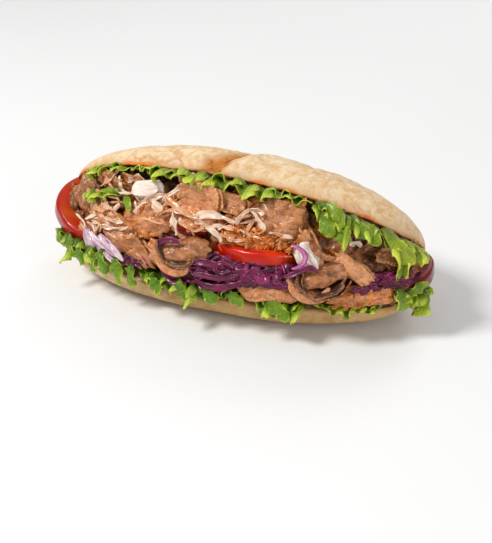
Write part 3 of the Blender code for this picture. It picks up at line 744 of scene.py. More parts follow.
# %% Hinge
HINGE_THICKNESS, HINGE_INWARD, HINGE_LIFT = 8.5 * MM, 8 * MM, 3 * MM
HINGE_REACH, HINGE_END = 84 * MM, 92 * MM  # where it stops, and where it would taper to nothing
x = np.linspace(-HINGE_REACH, HINGE_REACH, 150)[:, None]
turn = np.linspace(0, 2 * math.pi, 41)[None, :-1]
width = HALF_WIDTH * (1 - np.abs(x / HALF_LENGTH) ** PLAN_POWER) ** (1 / PLAN_POWER)
thick = HINGE_THICKNESS * (1 - np.abs(x / HINGE_END) ** 3)
y, z = width - HINGE_INWARD + thick * np.cos(turn), HINGE_Z + HINGE_LIFT + thick * np.sin(turn)
hinge = stack(x, y, z)
folds = 0.5 * rough(hinge, 7 * MM, 3, 14) + 0.5 * rough(hinge * (1, 0.3, 0.3), 3.5 * MM, 3, 15)
hinge_ring = hinge + (folds * MM)[..., None] * unit(stack(0 * x, np.cos(turn), np.sin(turn)))
inside = np.clip(-np.cos(turn) * 3, 0, 1)
browned = 0.35 + 0.35 * rough(hinge, 5 * MM, 3, 16)
marks = {"toast": browned, "scorch": 0.0, "crumb": inside, "tan": 0.35, "sauce": 0.5 * inside}
rope = tube_body(hinge_ring, flat=flat_marks(hinge), **marks)
piece("bread_hinge", bread, [rope], ["bread"])

# %% [markdown]
# ## Lettuce
# A leaf is yellow-green and lets light through. Between its veins it swells into small blisters, and it
# grows paler towards its frilled rim. It is drawn darker down in its folds, near its root and on its sheet
# behind: painted shade, which the mesh keeps as a mark.

# %% Leaf finish
leaf = Finish(
    "frilled_leaf",
    Subsurface_Weight=0.22,
    Subsurface_Scale=0.002,
    Subsurface_Radius=(0.5, 1.0, 0.15),
    Coat_Roughness=0.12,
    Specular_IOR_Level=0.32,
)
rim, fresh, hollow = leaf.mark("rim"), leaf.mark("fresh"), leaf.mark("hollow")
blotch, close = leaf.noise(0.009, 3.0), leaf.noise(0.0016, 4.0)
blisters = leaf.cells(0.0034, feature="DISTANCE_TO_EDGE").between(0.0, 0.2)
deep = leaf.mix(fresh, shade(24, 62, 1), shade(66, 92, 1))
light = leaf.mix(fresh, shade(98, 150, 6), shade(172, 184, 26))
# painted shade: folds, roots and the sheet behind are drawn darker here and in the darkening below
colour = leaf.mix((blotch * 1.1 - 0.1 + rim * 0.35 - hollow * 0.5).limited(), deep, light)
colour = leaf.mix((1 - blisters) * 0.15, colour, shade(156, 184, 30))
colour = leaf.mix((rim - 0.72).between(0.0, 0.28) * (0.45 + close * 0.5), colour, shade(212, 222, 82))
# painted shade in the folds, towards the root and on the sheet behind
colour = leaf.darken(hollow * 0.8, colour, shade(70, 92, 18))
leaf.wear(Base_Color=colour, Roughness=0.30 + close * 0.25, Coat_Weight=blotch * 0.28)
leaf.bump(close * 0.5 + blisters * 0.5, 0.0007, 0.8)
print("leaf finish made")

# %% [markdown]
# Each leaf is one thin sheet that is rooted in the filling and grows longer towards its rim than it is at
# its root, so the rim has to ruffle. Cloth can't grow like that without a long simulation. Here the
# ruffle is written down: a wave whose height grows towards the rim, a sideways wander at twice its pace
# that makes the folds lean over like a meander, and shorter waves on top of it that crinkle the last few
# millimetres.

# %% Leaf sheets
LEAF_THICKNESS = 0.75 * MM
COLUMNS_PER_FRILL, LEAF_ROWS = 24, 24


def parabola(start, middle, end, share):
    """The curve (1 - w)^2 start + 2 w (1 - w) middle + w^2 end, and its direction at each share w."""
    w = share[..., None]
    line = (1 - w) ** 2 * start + 2 * w * (1 - w) * middle + w**2 * end
    return line, unit(2 * (1 - w) * (middle - start) + 2 * w * (end - middle))


def leaf_sheet(name, facts, row):
    """A ruffled leaf.

    From root to rim it follows a parabola in the plane of out and up. The ruffle h w^1.7 sin(phase) stands
    square to that curve, and the leaf slides along the mouth by -k w^2 sin(2 phase), which makes the folds
    lean over. Two shorter waves grow as w^3 and w^6. Row 1 is a second sheet behind row 0, with its rim
    nearer the root.
    """
    first, last, depth, up_root, reach, out_rim, up_rim, frills, frill, fresh = facts
    seed = seed_of(name, 13) + 5 * row
    first, last = first + 2 * row, last - 2 * row
    up_rim, out_rim = up_rim + 0.6 * row * (up_root - up_rim), out_rim - 1.5 * row
    u = np.linspace(0, 1, COLUMNS_PER_FRILL * frills + 1)[None, :]
    v = np.linspace(0, 1, LEAF_ROWS)[:, None] ** 0.85
    swing = 2 * math.pi * frills * u + seed
    phase = swing + 1.3 * jagged(u * frills, 2.2, seed)
    ends = 0.40 + 0.60 * np.clip(1 - np.abs(2 * u - 1) ** 3, 0, 1)
    lobes = 1 + 0.16 * np.sin(0.37 * swing + seed) + 0.10 * np.sin(0.81 * swing)
    notches = 0.04 * jagged(u * frills, 0.22, seed + 3) + 0.03 * np.sin(3.1 * phase)
    w = v * ends * lobes * (1 + notches * v)
    root = np.array((-depth * MM, (up_root + 0.03 * np.sign(0.5 - up_root)) * MOUTH_TALL))
    lip, rim = np.array((reach * MM, up_root * MOUTH_TALL)), np.array((out_rim * MM, up_rim * MOUTH_TALL))
    line, heading = parabola(root, lip, rim, w)
    square = np.stack([-heading[..., 1], heading[..., 0]], axis=-1)
    tall = frill * MM
    grow = w**1.7 * tall * (1 + 0.3 * np.sin(0.53 * swing) + 0.25 * jagged(u * frills, 0.9, seed + 7))
    crinkle = 0.26 * w**3 * np.sin(2.7 * phase + 2 * seed + 3 * v) + 0.06 * w**6 * np.sin(7.3 * phase + seed)
    crumple = 0.5 * w * rough(stack(u * frills * 0.8, v * 1.4, seed), 0.8, 2, 42)
    wave = grow * np.sin(phase) + (crinkle + crumple) * tall
    line = line + square * wave[..., None] + heading * (0.25 * grow * np.cos(phase))[..., None]
    slide = -0.11 * (last - first) / frills * w**2 * np.sin(2 * phase) * (1 + 0.5 * np.sin(0.7 * swing))
    around = first + (last - first) * u + slide
    points = mouth(np.clip(around, -89.5, 89.5), line[..., 1] / MOUTH_TALL, line[..., 0])
    points = points + 0.35 * MM * stack(*(rough(points, 5 * MM, 2, 41 + k) for k in range(3)))
    # painted shade: darker near the root, in the troughs of the folds and on the sheet behind
    hollow = np.clip(0.9 - 1.5 * v, 0, 1) + 0.75 * v * np.clip(-np.sin(phase), 0, 1) ** 2 + 0.25 * row
    return sheet(points, LEAF_THICKNESS * (1 - 0.45 * v**3), rim=v, fresh=fresh, hollow=hollow)


print("a leaf has", COLUMNS_PER_FRILL, "columns a frill")

# %% [markdown]
# Lobes, shreds, ribbons and the rims of rolled slices are narrow bands that follow a curve. A few places
# in the mouth give the curve, as one would lay a ribbon by hand, and the polynomial through them is
# smooth.

# %% Bands along curves
def swept(path, width, profile, cup, roll, ruffle, thickness, grid):
    """A band along a curve through places in the mouth, and its shares along and across.

    The curve is the polynomial through the places, given as (around, up, out in mm). Across it the band is
    width times profile(s) wide, cupped by c v^2 and turned about the curve from the first roll to the last.
    The ruffle h |v|^2.5 sin(2 pi n s) stands square to it. The grid is (rows across, columns along).
    """
    knots = mouth(*(np.array(path, float) * (1, 1, MM)).T)
    s, v = np.linspace(0, 1, grid[1]), np.linspace(-1, 1, grid[0])[:, None]
    powers = np.vander(np.linspace(0, 1, len(knots)))
    middle = np.vander(s, len(knots)) @ np.linalg.solve(powers, knots)
    tangent = unit(np.gradient(middle, axis=0))
    outward = mouth_frame(np.mean([place[0] for place in path]))[4]
    side = unit(np.cross(outward, tangent))
    turn = np.radians(roll[0] + (roll[1] - roll[0]) * s)[:, None]
    side, normal = rotated(side, np.cross(tangent, side), turn)
    seed = knots[0, 0] * 977 + knots[0, 2] * 613
    wide = width / 2 * profile(s) * (1 + 0.16 * jagged(s * 3 + 7 * seed + np.sign(v), 0.4, 2)) * v
    wave = np.abs(v) ** 2.5 * ruffle[0] * np.sin(2 * math.pi * ruffle[1] * s + np.sign(v) * 1.4 + seed)
    lift = cup * v**2 + wave
    points = middle + (wide * MM)[..., None] * side + (lift * MM)[..., None] * normal
    flat = stack(s * width * 4 * MM, wide * MM, seed * MM)
    rounded = 0.35 + 0.65 * np.sqrt(np.clip(1 - v**6, 0, 1))
    thick = thickness * MM * rounded * (0.5 + 0.5 * profile(s) ** 0.5)
    return points, thick, flat, s + 0 * v, v + 0 * s


def lobe_profile(s):
    """A lobe of a leaf: narrow at its root, widest past its middle, round at its end."""
    return (0.35 + 0.65 * s**0.7) * np.sqrt(np.clip(1 - s**5, 0.004, 1))


def band_profile(s):
    """A band that narrows to both ends: (1 - |2 s - 1|^3)^0.6."""
    return np.clip(1 - np.abs(2 * s - 1) ** 3, 0.01, 1) ** 0.6


print("a lobe is widest", int(lobe_profile(np.linspace(0, 1, 101)).argmax()), "% of the way to its end")

# %% [markdown]
# The table holds the same numbers as the solids: where the leaf starts and ends round the mouth, how deep
# and how high its root is, how far it reaches, where its rim hangs, how many frills it has and how high
# they are. The last number is how yellow and fresh it looks: the leaves under the crown are paler than
# those below. Lobes that hang out past the rim are bands of their own.

# %% Leaves
LEAVES = {
    # name: around from, to; root depth (mm), up; reach (mm); rim out (mm), up; frills, their height; fresh
    "lettuce_lower_left": (-74, -21, 6, 0.20, 5, 5.5, 0.03, 9, 4.2, 0.22),
    "lettuce_lower_mid": (-22, 10, 6, 0.08, 5, 7, -0.03, 7, 4.2, 0.12),
    "lettuce_lower_hanging": (13, 28, 6, 0.05, 9, 8, -0.10, 3, 3.2, 0.35),
    "lettuce_lower_right": (31, 58, 6, 0.06, 5, 9, -0.01, 6, 2.2, 0.5),
    "lettuce_lower_end": (60, 86, 6, 0.25, 9, 9, -0.04, 5, 4.0, 0.5),
    "lettuce_upper_left": (-56, -31, 6, 1.0, 4, 6, 0.92, 5, 3.6, 0.6),
    "lettuce_upper_mid": (-30, 26, 6, 1.0, 6, 8, 0.91, 11, 4.2, 0.72),
    "lettuce_upper_right": (26, 51, 6, 0.99, 13, 10, 0.80, 7, 3.0, 0.55),
    "lettuce_upper_end": (51, 76, 5, 0.97, 9, 10, 0.60, 4, 3.0, 1.0),
    "lettuce_inner_left": (-48, -31, 6, 0.74, 6, 6, 0.66, 3, 3.2, 0.7),
}
LOBES = {
    # node: (fresh, width and frill in mm, waves, then places from root to tip: around, up, out)
    "lettuce_lower_left": (
        (0.25, 9, 1.6, 1.7, (-63, 0.24, 4), (-62, 0.18, 8), (-61, 0.10, 8), (-60, 0.04, 7)),
        (0.35, 10, 1.8, 1.7, (-55, 0.24, 4), (-54, 0.16, 8), (-52, 0.07, 9), (-51, 0.0, 8)),
        (0.15, 9, 1.7, 1.7, (-48, 0.22, 4), (-47, 0.15, 8), (-46, 0.06, 9), (-46, -0.04, 8)),
        (0.40, 10, 1.8, 1.8, (-42, 0.20, 4), (-41, 0.14, 8), (-40, 0.05, 9), (-39, -0.05, 8)),
        (0.20, 9, 1.7, 1.7, (-36, 0.20, 4), (-35, 0.15, 9), (-34, 0.08, 10), (-33, -0.03, 9)),
        (0.35, 10, 1.8, 1.8, (-30, 0.17, 4), (-29, 0.12, 8), (-28, 0.04, 9), (-27, -0.07, 8)),
        (0.25, 8, 1.5, 1.6, (-24, 0.14, 4), (-23, 0.10, 8), (-23, 0.03, 8), (-22, -0.05, 7)),
    ),
    "lettuce_lower_mid": (
        (0.10, 9, 1.5, 1.6, (-15, 0.10, 4), (-15, 0.07, 8), (-14, 0.02, 9), (-13, -0.05, 8)),
        (0.25, 9, 1.6, 1.7, (-8, 0.10, 4), (-7, 0.08, 8), (-6, 0.02, 9), (-5, -0.05, 8)),
        (0.10, 9, 1.5, 1.6, (-1, 0.10, 4), (0, 0.08, 8), (1, 0.03, 9), (2, -0.04, 8)),
        (0.25, 8, 1.5, 1.6, (5, 0.09, 4), (6, 0.07, 8), (8, 0.03, 8), (9, -0.03, 7)),
    ),
    "lettuce_upper_right": (
        (0.45, 12, 1.6, 2.2, (29, 0.97, 4), (31, 0.89, 12), (32, 0.81, 13), (32, 0.74, 11)),
        (0.55, 9, 1.4, 2.0, (27, 0.98, 5), (32, 1.0, 11), (35, 0.93, 13), (36, 0.85, 12)),
        (0.40, 10, 1.4, 2.0, (40, 1.0, 4), (41.5, 0.93, 10), (44, 0.87, 11), (45, 0.81, 10)),
        (0.60, 9, 1.2, 2.0, (37, 1.01, 3), (36.5, 0.94, 8), (38, 0.87, 10)),
        (0.50, 12, 1.7, 2.0, (34, 0.97, 4), (36, 0.88, 10), (37, 0.79, 11), (37, 0.70, 9)),
        (0.55, 10, 1.5, 2.0, (43, 0.98, 4), (45.5, 0.91, 9), (48, 0.84, 10), (49, 0.77, 9)),
    ),
    "lettuce_upper_end": (
        (1.0, 13, 1.5, 2.0, (53.5, 0.99, 4), (56, 0.89, 10), (60, 0.76, 11), (63, 0.64, 10)),
    ),
    "lettuce_lower_hanging": (
        (0.35, 11, 1.5, 2.0, (15, 0.06, 4), (18, 0.04, 9), (21, -0.02, 10), (24, -0.07, 9)),
    ),
    "lettuce_lower_end": (
        (0.35, 9, 1.4, 2.0, (61, 0.33, 5), (63, 0.22, 9), (65, 0.08, 10), (67, -0.04, 9)),
        (0.55, 8, 1.4, 2.0, (65, 0.25, 6), (68, 0.27, 9), (71, 0.33, 9), (75, 0.35, 8)),
    ),
    "lettuce_inner_left": (
        (0.5, 7, 0.8, 1.3, (-29.5, 0.73, 2), (-27, 0.68, 5), (-25, 0.60, 5)),
        (0.6, 5, 0.7, 2.0, (-30, 0.76, 3), (-35, 0.75, 5), (-41, 0.72, 4)),
    ),
}


def leaf_lobe(fresh, width, frill, waves, *path):
    """A frilled lobe, whose rim is its sides and its far end."""
    points, thick, _, s, v = swept(
        path, width, lobe_profile, cup=-1.2, roll=(-12, 14),
        ruffle=(frill, waves), thickness=0.8, grid=(15, 40),
    )
    rim = np.maximum(np.abs(v) ** 2.5, s**5)
    # painted shade towards the lobe's root
    return sheet(points, thick, rim=rim, fresh=fresh, hollow=np.clip(0.6 - 1.4 * s, 0, 1))


for name, facts in LEAVES.items():
    parts = [leaf_sheet(name, facts, row) for row in (0, 1)]
    parts += [leaf_lobe(*lobe) for lobe in LOBES.get(name, ())]
    piece(name + "_leaf", leaf, parts, [name])

# %% [markdown]
# ## Tomato
# A tomato slice is a thick disc whose rim is skin. The skin is smooth, dark and very glossy, and the cut
# faces are lighter, wetter and a little more orange towards the core.

# %% Tomato finish
tomato = Finish(
    "tomato_skin_and_flesh",
    Subsurface_Weight=0.12,
    Subsurface_Scale=0.003,
    Subsurface_Radius=(1.0, 0.25, 0.1),
    Coat_Roughness=0.06,
    Specular_IOR_Level=0.25,
)
skin, core, dark = tomato.mark("skin"), tomato.mark("core"), tomato.mark("dark")
cloud, grainy = tomato.noise(0.012, 3.0), tomato.noise(0.0012, 4.0)
flesh = tomato.mix(cloud, shade(216, 36, 2), shade(236, 80, 9))
flesh = tomato.mix(core * (0.3 + grainy * 0.7), flesh, shade(236, 112, 30))
peel = tomato.mix((cloud * 0.8 + grainy * 0.25).between(0.35, 0.8), shade(184, 20, 1), shade(214, 52, 4))
# this darkens the slice: a darkness given for each slice, and painted shade on the underside of the skin
colour = tomato.darken(dark, tomato.mix(skin, flesh, peel), shade(146, 96, 70))
tomato.wear(
    Base_Color=colour, Roughness=0.34 - skin * 0.14 + grainy * 0.1, Coat_Weight=0.10 + skin * 0.14
)
tomato.bump(grainy * 0.6 + cloud * 0.6, 0.0006, 0.5)
print("tomato finish made")

# %% [markdown]
# The slice is lathed: a profile with a rounded rim goes round a circle that isn't quite round. Its cut
# faces are a little sunken between the walls that run in from the rim. It is set in the mouth by the
# middle of its rim, sinks towards the hinge and rolls a little to one side.

# %% Tomatoes
TOMATOES = {
    # name: around, up and out of the middle of the rim; radius, thickness (mm); sink, roll (degrees); dark
    "tomato_left": (-64, 0.36, 5, 30, 11, 4, -22, 0.5),
    "tomato_mid": (12, 0.41, 6, 34, 9, 14, 1, 0.0),
    "tomato_right": (77, 0.34, 4, 24, 10, 2, 8, 0.95),
    "tomato_behind_left": (-8, 0.52, 0, 20, 7, 14, 0, 0.5),
    "tomato_behind_right": (36, 0.40, 1, 18, 7, 12, -6, 0.5),
}


def tomato_disc(facts):
    """A lathe: profile points (r, h) from the middle of the top over the skin to the middle underneath."""
    around, up, out, radius, thickness, sink, roll, darkness = facts
    _, _, along, _, outward = mouth_frame(float(around))
    level = unit(np.array((-outward[0], -outward[1], 0.0)))
    e_in = level * math.cos(math.radians(sink)) - np.array((0.0, 0.0, math.sin(math.radians(sink))))
    e_up = unit(np.cross(along, e_in))
    e_along, e_up = rotated(np.cross(e_in, e_up), e_up, math.radians(roll))
    middle = mouth(around, up, out * MM) + e_in * radius * MM
    half, bevel = thickness * MM / 2, 0.30 * thickness * MM
    face = np.linspace(0.02, 1, 22)
    bend = np.linspace(0, math.pi / 2, 8)[1:]
    r = np.concatenate([face * (radius * MM - bevel), radius * MM - bevel + bevel * np.sin(bend)])
    h = np.concatenate([half + 0 * face, half - bevel + bevel * np.cos(bend)])
    r, h = np.concatenate([r, r[::-1][1:]])[:, None], np.concatenate([h, -h[::-1][1:]])[:, None]
    turn = np.linspace(0, 2 * math.pi, 181)[None, :-1]
    side = 1 + 0.008 * np.sin(5 * turn + radius) + 0.006 * np.sin(9 * turn)
    share = np.clip(r / (radius * MM), 0, 1)
    walls = np.abs(np.sin(2.5 * turn + 0.7 * np.sin(3 * share + radius)))
    sunk = 0.8 * MM * np.clip(walls - 0.3, 0, 1) * np.clip(1 - np.abs(share - 0.55) / 0.33, 0, 1) ** 0.6
    flat = np.clip((np.abs(h) - 0.7 * half) / (0.3 * half), 0, 1) * (share < 0.93)
    h = h - np.sign(h) * sunk * flat
    x, y = r * side * np.cos(turn), r * side * np.sin(turn)
    bulge = 0.5 * MM * rough(stack(x, y, h), 11 * MM, 2, int(radius))
    points = middle + x[..., None] * e_along + y[..., None] * e_in + h[..., None] * e_up
    points = points + bulge[..., None] * unit(points - middle)
    heart = np.clip(1 - walls * 1.3, 0, 1) * flat * np.clip(share * 4, 0, 1) + np.clip(1 - share * 5, 0, 1)
    # painted shade: the skin is drawn darker on its underside near the rim
    low = darkness + 0.55 * np.clip(-h / half, 0, 1) * np.clip((share - 0.8) * 6, 0, 1)
    return tube_body(points, skin=np.clip((share - 0.90) / 0.06, 0, 1), core=heart, dark=np.clip(low, 0, 1))


for name, facts in TOMATOES.items():
    piece(name + "_slice", tomato, [tomato_disc(facts)], [name])

# %% [markdown]
# ## Shaved meat
# Doner meat is shaved from a turning spit, so each slice is a thin bent sheet: browned and crisp along
# its edges, paler and fibrous inside, with torn ends. The finish reads a few marks: how near the edge a
# place is, how pale the slice is, how much sauce it carries, how well done it is, which also paints shade
# inside the scoops and over the heap, and coordinates along the slice, so that the fibres follow the bend.
# Rosy patches and darker pits keep one slice from looking like the next; the pits are painted shade where
# the bump is lowest.

# %% Meat finish
meat = Finish(
    "shaved_roast_meat",
    Subsurface_Weight=0.10,
    Subsurface_Scale=0.002,
    Subsurface_Radius=(1.0, 0.45, 0.25),
    Coat_Roughness=0.2,
)
edge, pale, sauce, done = meat.mark("edge"), meat.mark("pale"), meat.mark("sauce"), meat.mark("done")
cloud, close, broad = meat.noise(0.006, 4.0), meat.noise(0.0013, 5.0), meat.noise(0.010, 3.0, warp=0.8)
fibre = meat.noise(0.0011, 4.0, meat.stretched("grain", (0.14, 1.0, 1.0)))
speck = meat.cells(0.0017).between(0.10, 0.34)
patch = meat.noise(0.0028, 4.0, warp=0.6)
grit = close.between(0.35, 0.65)
tone = (cloud * 0.7 + patch * 0.8 + fibre * 0.25 - 0.38 + pale * 0.45 - done * 0.35).limited()
colour = meat.mix(tone.between(0.12, 0.80), shade(88, 42, 12), shade(196, 122, 62))
rosy = (broad * 0.8 + cloud * 0.4 + pale * 0.22 - done * 0.3).between(0.58, 0.82)
colour = meat.mix(rosy * 0.65, colour, meat.mix(grit, shade(184, 118, 84), shade(222, 168, 132)))
tanned = (cloud * 0.6 + close * 0.7 + pale * 0.4 - 0.82).between(0.0, 0.22)
colour = meat.mix(tanned * 0.6, colour, shade(220, 152, 92))
colour = meat.mix((fibre - 0.54).between(0.0, 0.15) * (0.18 + pale * 0.4), colour, shade(226, 174, 126))
browned = (edge * (0.5 + cloud * 0.9)).between(0.45, 0.95)
colour = meat.mix(browned * 0.65, colour, meat.mix(grit, shade(146, 80, 26), shade(236, 168, 92)))
# dark specks, and darkening for well done meat, which is also painted shade inside the scoops and over the
# heap
colour = meat.darken((1 - speck) * 0.22 + done * 0.55, colour, shade(120, 80, 54))
# painted shade in the pits, where the bump is lowest
colour = meat.darken((patch - 0.38).between(0.08, -0.08) * 0.20, colour, shade(140, 88, 56))
wet = (sauce * (0.35 + patch * 1.3)).between(0.30, 0.75)
saucy = meat.mix(close.between(0.3, 0.7), shade(206, 88, 10), shade(244, 158, 50))
colour = meat.mix(wet * 0.85, colour, saucy)
meat.wear(
    Base_Color=colour,
    Roughness=0.52 - wet * 0.22 + close * 0.12,
    Coat_Weight=0.18 + wet * 0.6 + cloud * 0.3,
)
meat.bump(fibre * 0.22 + close * 0.40 + patch * 0.35 + speck * 0.10, 0.0011, 1.0)
print("meat finish made")

# %% [markdown]
# A slice is laid on the mouth's face, turned, tipped and bent just as its solid was. On top of that come
# the torn ends, ragged sides, thinning edges, fibre ridges and small folds. The same function lays many
# slices at once, because every number it takes may be an array, so the small shavings further in cost no
# loop.

# %% Slices
RAGGED = 0.09  # how far the outline wavers, as a share of the slice's size
SQUARENESS = 0.36  # how much the sides draw in towards the corners


def arc(share, length, bend):
    """Along and out of a strip bent through `bend` degrees: radius sin(turn) and radius (1 - cos(turn))."""
    turn = np.radians(np.where(np.abs(bend) > 1, bend, 1.0))
    radius = length / turn
    return radius * np.sin(turn * share), radius * (1 - np.cos(turn * share))


def slices(grid, place, size, bend, thickness, wave, seed, look=(0.0, 0.0, 0.0), tear=1.0):
    """Bent slices as sheets; every number may be an array, with one entry a slice.

    The grid is (rows, columns), the place (around, up, out, turn, tilt), the size (length, width), the bend
    (along, across) and the look (pale, sauce, done: doneness, also used as painted shade), with
    lengths in mm. The height is that of both arcs, plus ripples, folds, fine ridges and thin valleys
    -exp(-(n / 0.11)^2) along the fibres, where n is noise.
    Noise that grows as the cube of s and t pushes the outline in and out; a tear of 0 is a clean cut.
    """
    middle, e_long, e_wide, e_out = (
        v.reshape(-1, 1, 1, 3) for v in lay(*place[:2], np.asarray(place[2]) * MM, *place[3:])
    )
    length, width, bend_long, bend_wide, thickness, wave, seed, pale, sauce, done = (
        np.asarray(v, float).reshape(-1, 1, 1)
        for v in np.broadcast_arrays(*size, *bend, thickness, wave, seed, *look)
    )
    rows, columns = grid
    s, t = np.linspace(-1, 1, columns)[None, None, :], np.linspace(-1, 1, rows)[None, :, None]
    edge = np.maximum(np.abs(s) ** 5, np.abs(t) ** 4)
    ragged = 1 + RAGGED * (0.35 + 0.65 * tear) * np.sin(5.1 * s + 2.3 * seed) * np.cos(7.7 * t + seed)
    torn_end = 1 + tear * np.abs(s) ** 3 * 0.12 * rough(stack(t * 1.6, np.sign(s), seed * 3.1), 0.55, 3, 51)
    torn_side = 1 + tear * np.abs(t) ** 3 * 0.12 * rough(stack(s * 2.4, np.sign(t), seed * 1.7), 0.6, 3, 52)
    s, t = (
        s * np.sqrt(1 - SQUARENESS * t**2) * ragged * torn_end,
        t * np.sqrt(1 - SQUARENESS * s**2) * ragged * torn_side,
    )
    p, lift_long = arc(s / 2, length * MM, bend_long)
    q, lift_wide = arc(t / 2, width * MM, bend_wide)
    flat = stack(p, q, seed * 7 * MM)
    ripple = wave * np.sin(4.3 * s + 1.9 * t + seed) * np.cos(3.1 * t - 1.3 * s + 2 * seed)
    folds = 0.9 * wave * rough(flat, 7 * MM, 2, 53)
    ridges = 0.10 * rough(flat * (0.2, 1, 1), 1.8 * MM, 2, 54) + 0.20 * rough(flat, 2.2 * MM, 3, 55)
    valleys = 0.8 * np.exp(-((lumps(flat * (0.35, 1, 1), 5 * MM, 58) / 0.11) ** 2))
    lift = lift_long + lift_wide + (ripple + folds + tear * (ridges - valleys)) * MM
    points = middle + p[..., None] * e_long + q[..., None] * e_wide + lift[..., None] * e_out
    thin = 0.22 + 0.78 * np.sqrt(np.clip(1 - edge, 0, 1))
    pitted = 1 + 0.25 * rough(flat, 2.6 * MM, 2, 56)
    marks = {"edge": edge, "pale": pale, "sauce": sauce, "done": done}
    return sheet(points, thickness * MM * thin * pitted, grain=flat, **marks)


def meat_band(width, thickness, roll, look, *path):
    """A narrow bent slice, seen on its browned edge."""
    points, thick, flat, _, v = swept(
        path, width, band_profile, cup=-0.5, roll=roll,
        ruffle=(0.25, 2.3), thickness=thickness, grid=(13, 64),
    )
    grit = rough(flat, 2.0 * MM, 3, 57) * 0.30 * MM
    points = points + grit[..., None] * unit(points - points.mean((0, 1)))
    marks = dict(zip(("pale", "sauce", "done"), look), edge=0.25 + 0.6 * np.abs(v) ** 4)
    return sheet(points, thick, grain=flat, **marks)


print("a strip bent by 90 degrees rises to", round(float(arc(1.0, 1.0, 90.0)[1]), 2), "of its length")

# %% [markdown]
# The table again holds the solids' numbers, and how pale, saucy and well done each slice is; the last
# number also paints shade, darkest inside the two scoops. A thinner, paler shaving lies under each, a
# little askew, as they fall from the knife. The two rolled slices in front are made of two more parts: a
# thick far wall, which shows its browned inner face, and a thin near rim.

# %% Pieces of meat
MEAT_SLICES = {
    # name: around, up, out, turn, tilt, (length, width), (bend along, across), wave, (pale, sauce, done and
    # painted shade)
    # the scoops' last look number of 1 is painted shade: it darkens the inside of each rolled slice
    "doner_scoop_left": (-8.5, 0.285, 2, -14, -58, (34, 17), (150, 15), 0.5, (0.0, 0.0, 1.0)),
    "doner_scoop_right": (31.5, 0.23, 3, -8, -58, (36, 18), (145, 15), 0.5, (0.0, 0.0, 1.0)),
    "doner_slab_mid": (16, 0.165, 5.5, -3, -8, (37, 13), (-35, -60), 0.8, (0.5, 0.35, 0.05)),
    "doner_slab_right": (48, 0.20, 4, 2, -10, (38, 13), (-40, -55), 0.9, (0.3, 0.55, 0.2)),
    "doner_broad_right": (16, 0.745, 1, -8, 0, (34, 27), (-60, -45), 1.2, (0.40, 0.25, 0.10)),
    "doner_roll_top": (-4, 0.81, 2, -6, 12, (28, 19), (90, 40), 0.6, (0.6, 0.0, 0.05)),
    "doner_curl_top": (3, 0.80, 1, -14, -20, (20, 13), (60, 110), 0.6, (0.45, 0.0, 0.3)),
    "doner_mid_left": (-20, 0.56, 1, 16, 5, (32, 20), (-55, -40), 1.4, (0.35, 0.45, 0.15)),
    "doner_pulled_left": (-34, 0.48, 1, -20, 0, (38, 15), (-50, -40), 1.4, (0.55, 0.1, 0.1)),
    "doner_drape_left": (-27, 0.34, 2, -30, -6, (44, 14), (-50, -40), 1.2, (0.35, 0.15, 0.2)),
    "doner_saucy_mid": (8, 0.56, 0, -4, 0, (42, 12), (-50, -60), 1.4, (0.35, 1.0, 0.1)),
    "doner_pale_mid": (-5, 0.64, 2, -12, 6, (32, 12), (-50, -50), 1.2, (0.75, 0.45, 0.0)),
    "doner_strip_right": (42, 0.47, 4, -36, 10, (28, 10), (-20, -50), 0.6, (1.0, 0.0, 0.0)),
    "doner_edge_mid": (28, 0.58, 2, -58, 25, (26, 8), (30, 40), 0.5, (0.5, 0.3, 0.1)),
    "doner_curl_right": (57, 0.70, 3, -12, 0, (20, 11), (20, 140), 0.4, (0.3, 0.25, 0.55)),
    "doner_fold_left_end": (-51, 0.71, -0.5, 74, 8, (23, 15), (-50, 30), 1.1, (0.3, 0.25, 0.4)),
    "doner_fold_left_top": (-38, 0.85, 1, -8, 16, (24, 11), (-40, 60), 1.0, (0.35, 0.1, 0.4)),
    "doner_under_scoop": (-9, 0.17, 1, -8, 0, (22, 9), (-30, -50), 0.6, (0.3, 0.35, 0.2)),
    "doner_far_right": (66, 0.40, 2, 50, 0, (16, 10), (-30, -40), 0.5, (0.25, 0.3, 0.3)),
}
SCOOP_LENSES = {
    # the thick far wall of each scoop, laid like a slice
    "doner_scoop_left": (-6.5, 0.375, 4.5, 14, -22, (33, 14), (-30, -70), 0.5, (0.25, 0.05, 0.25)),
    "doner_scoop_right": (31.5, 0.375, 5.0, 20, -22, (33, 15), (-30, -70), 0.5, (0.25, 0.10, 0.25)),
}
NEAR_RIMS = {
    # the thin near rim: width, thickness, roll, (pale, sauce, done and painted shade), places
    "doner_scoop_left": (
        4.8, 2.4, (10, -10), (0.55, 0.15, 0.05),
        (-15, 0.36, 6.5), (-13, 0.25, 7.5), (-10, 0.18, 8), (-6.5, 0.18, 8),
        (-4.5, 0.24, 7.5), (-4, 0.31, 6.5),
    ),
    "doner_scoop_right": (
        4.8, 2.4, (10, -10), (0.55, 0.2, 0.05),
        (22, 0.30, 6.5), (24, 0.21, 7.5), (27, 0.14, 8), (31, 0.13, 8), (34, 0.18, 7.5), (35, 0.26, 6.5),
    ),
    "doner_edge_mid": (
        3.6, 1.8, (-50, 20), (0.35, 0.2, 0.4),
        (26.5, 0.72, 4), (28.5, 0.62, 6), (32, 0.555, 7), (36, 0.555, 5.5),
    ),
}
SLICE_GRID, UNDER_GRID = (46, 68), (30, 46)
THICKNESS, WALL_THICKNESS, UNDER_THICKNESS = 2.6, 3.6, 1.6  # in mm
# the shaving under a slice: how far it lies around, up and out from it, is turned (one way or the other)
# and is tipped; angles are in degrees
UNDER_MOVE, UNDER_TURNS, UNDER_TIP = (0.9, -0.012, -1.0), (-9, 7), -5

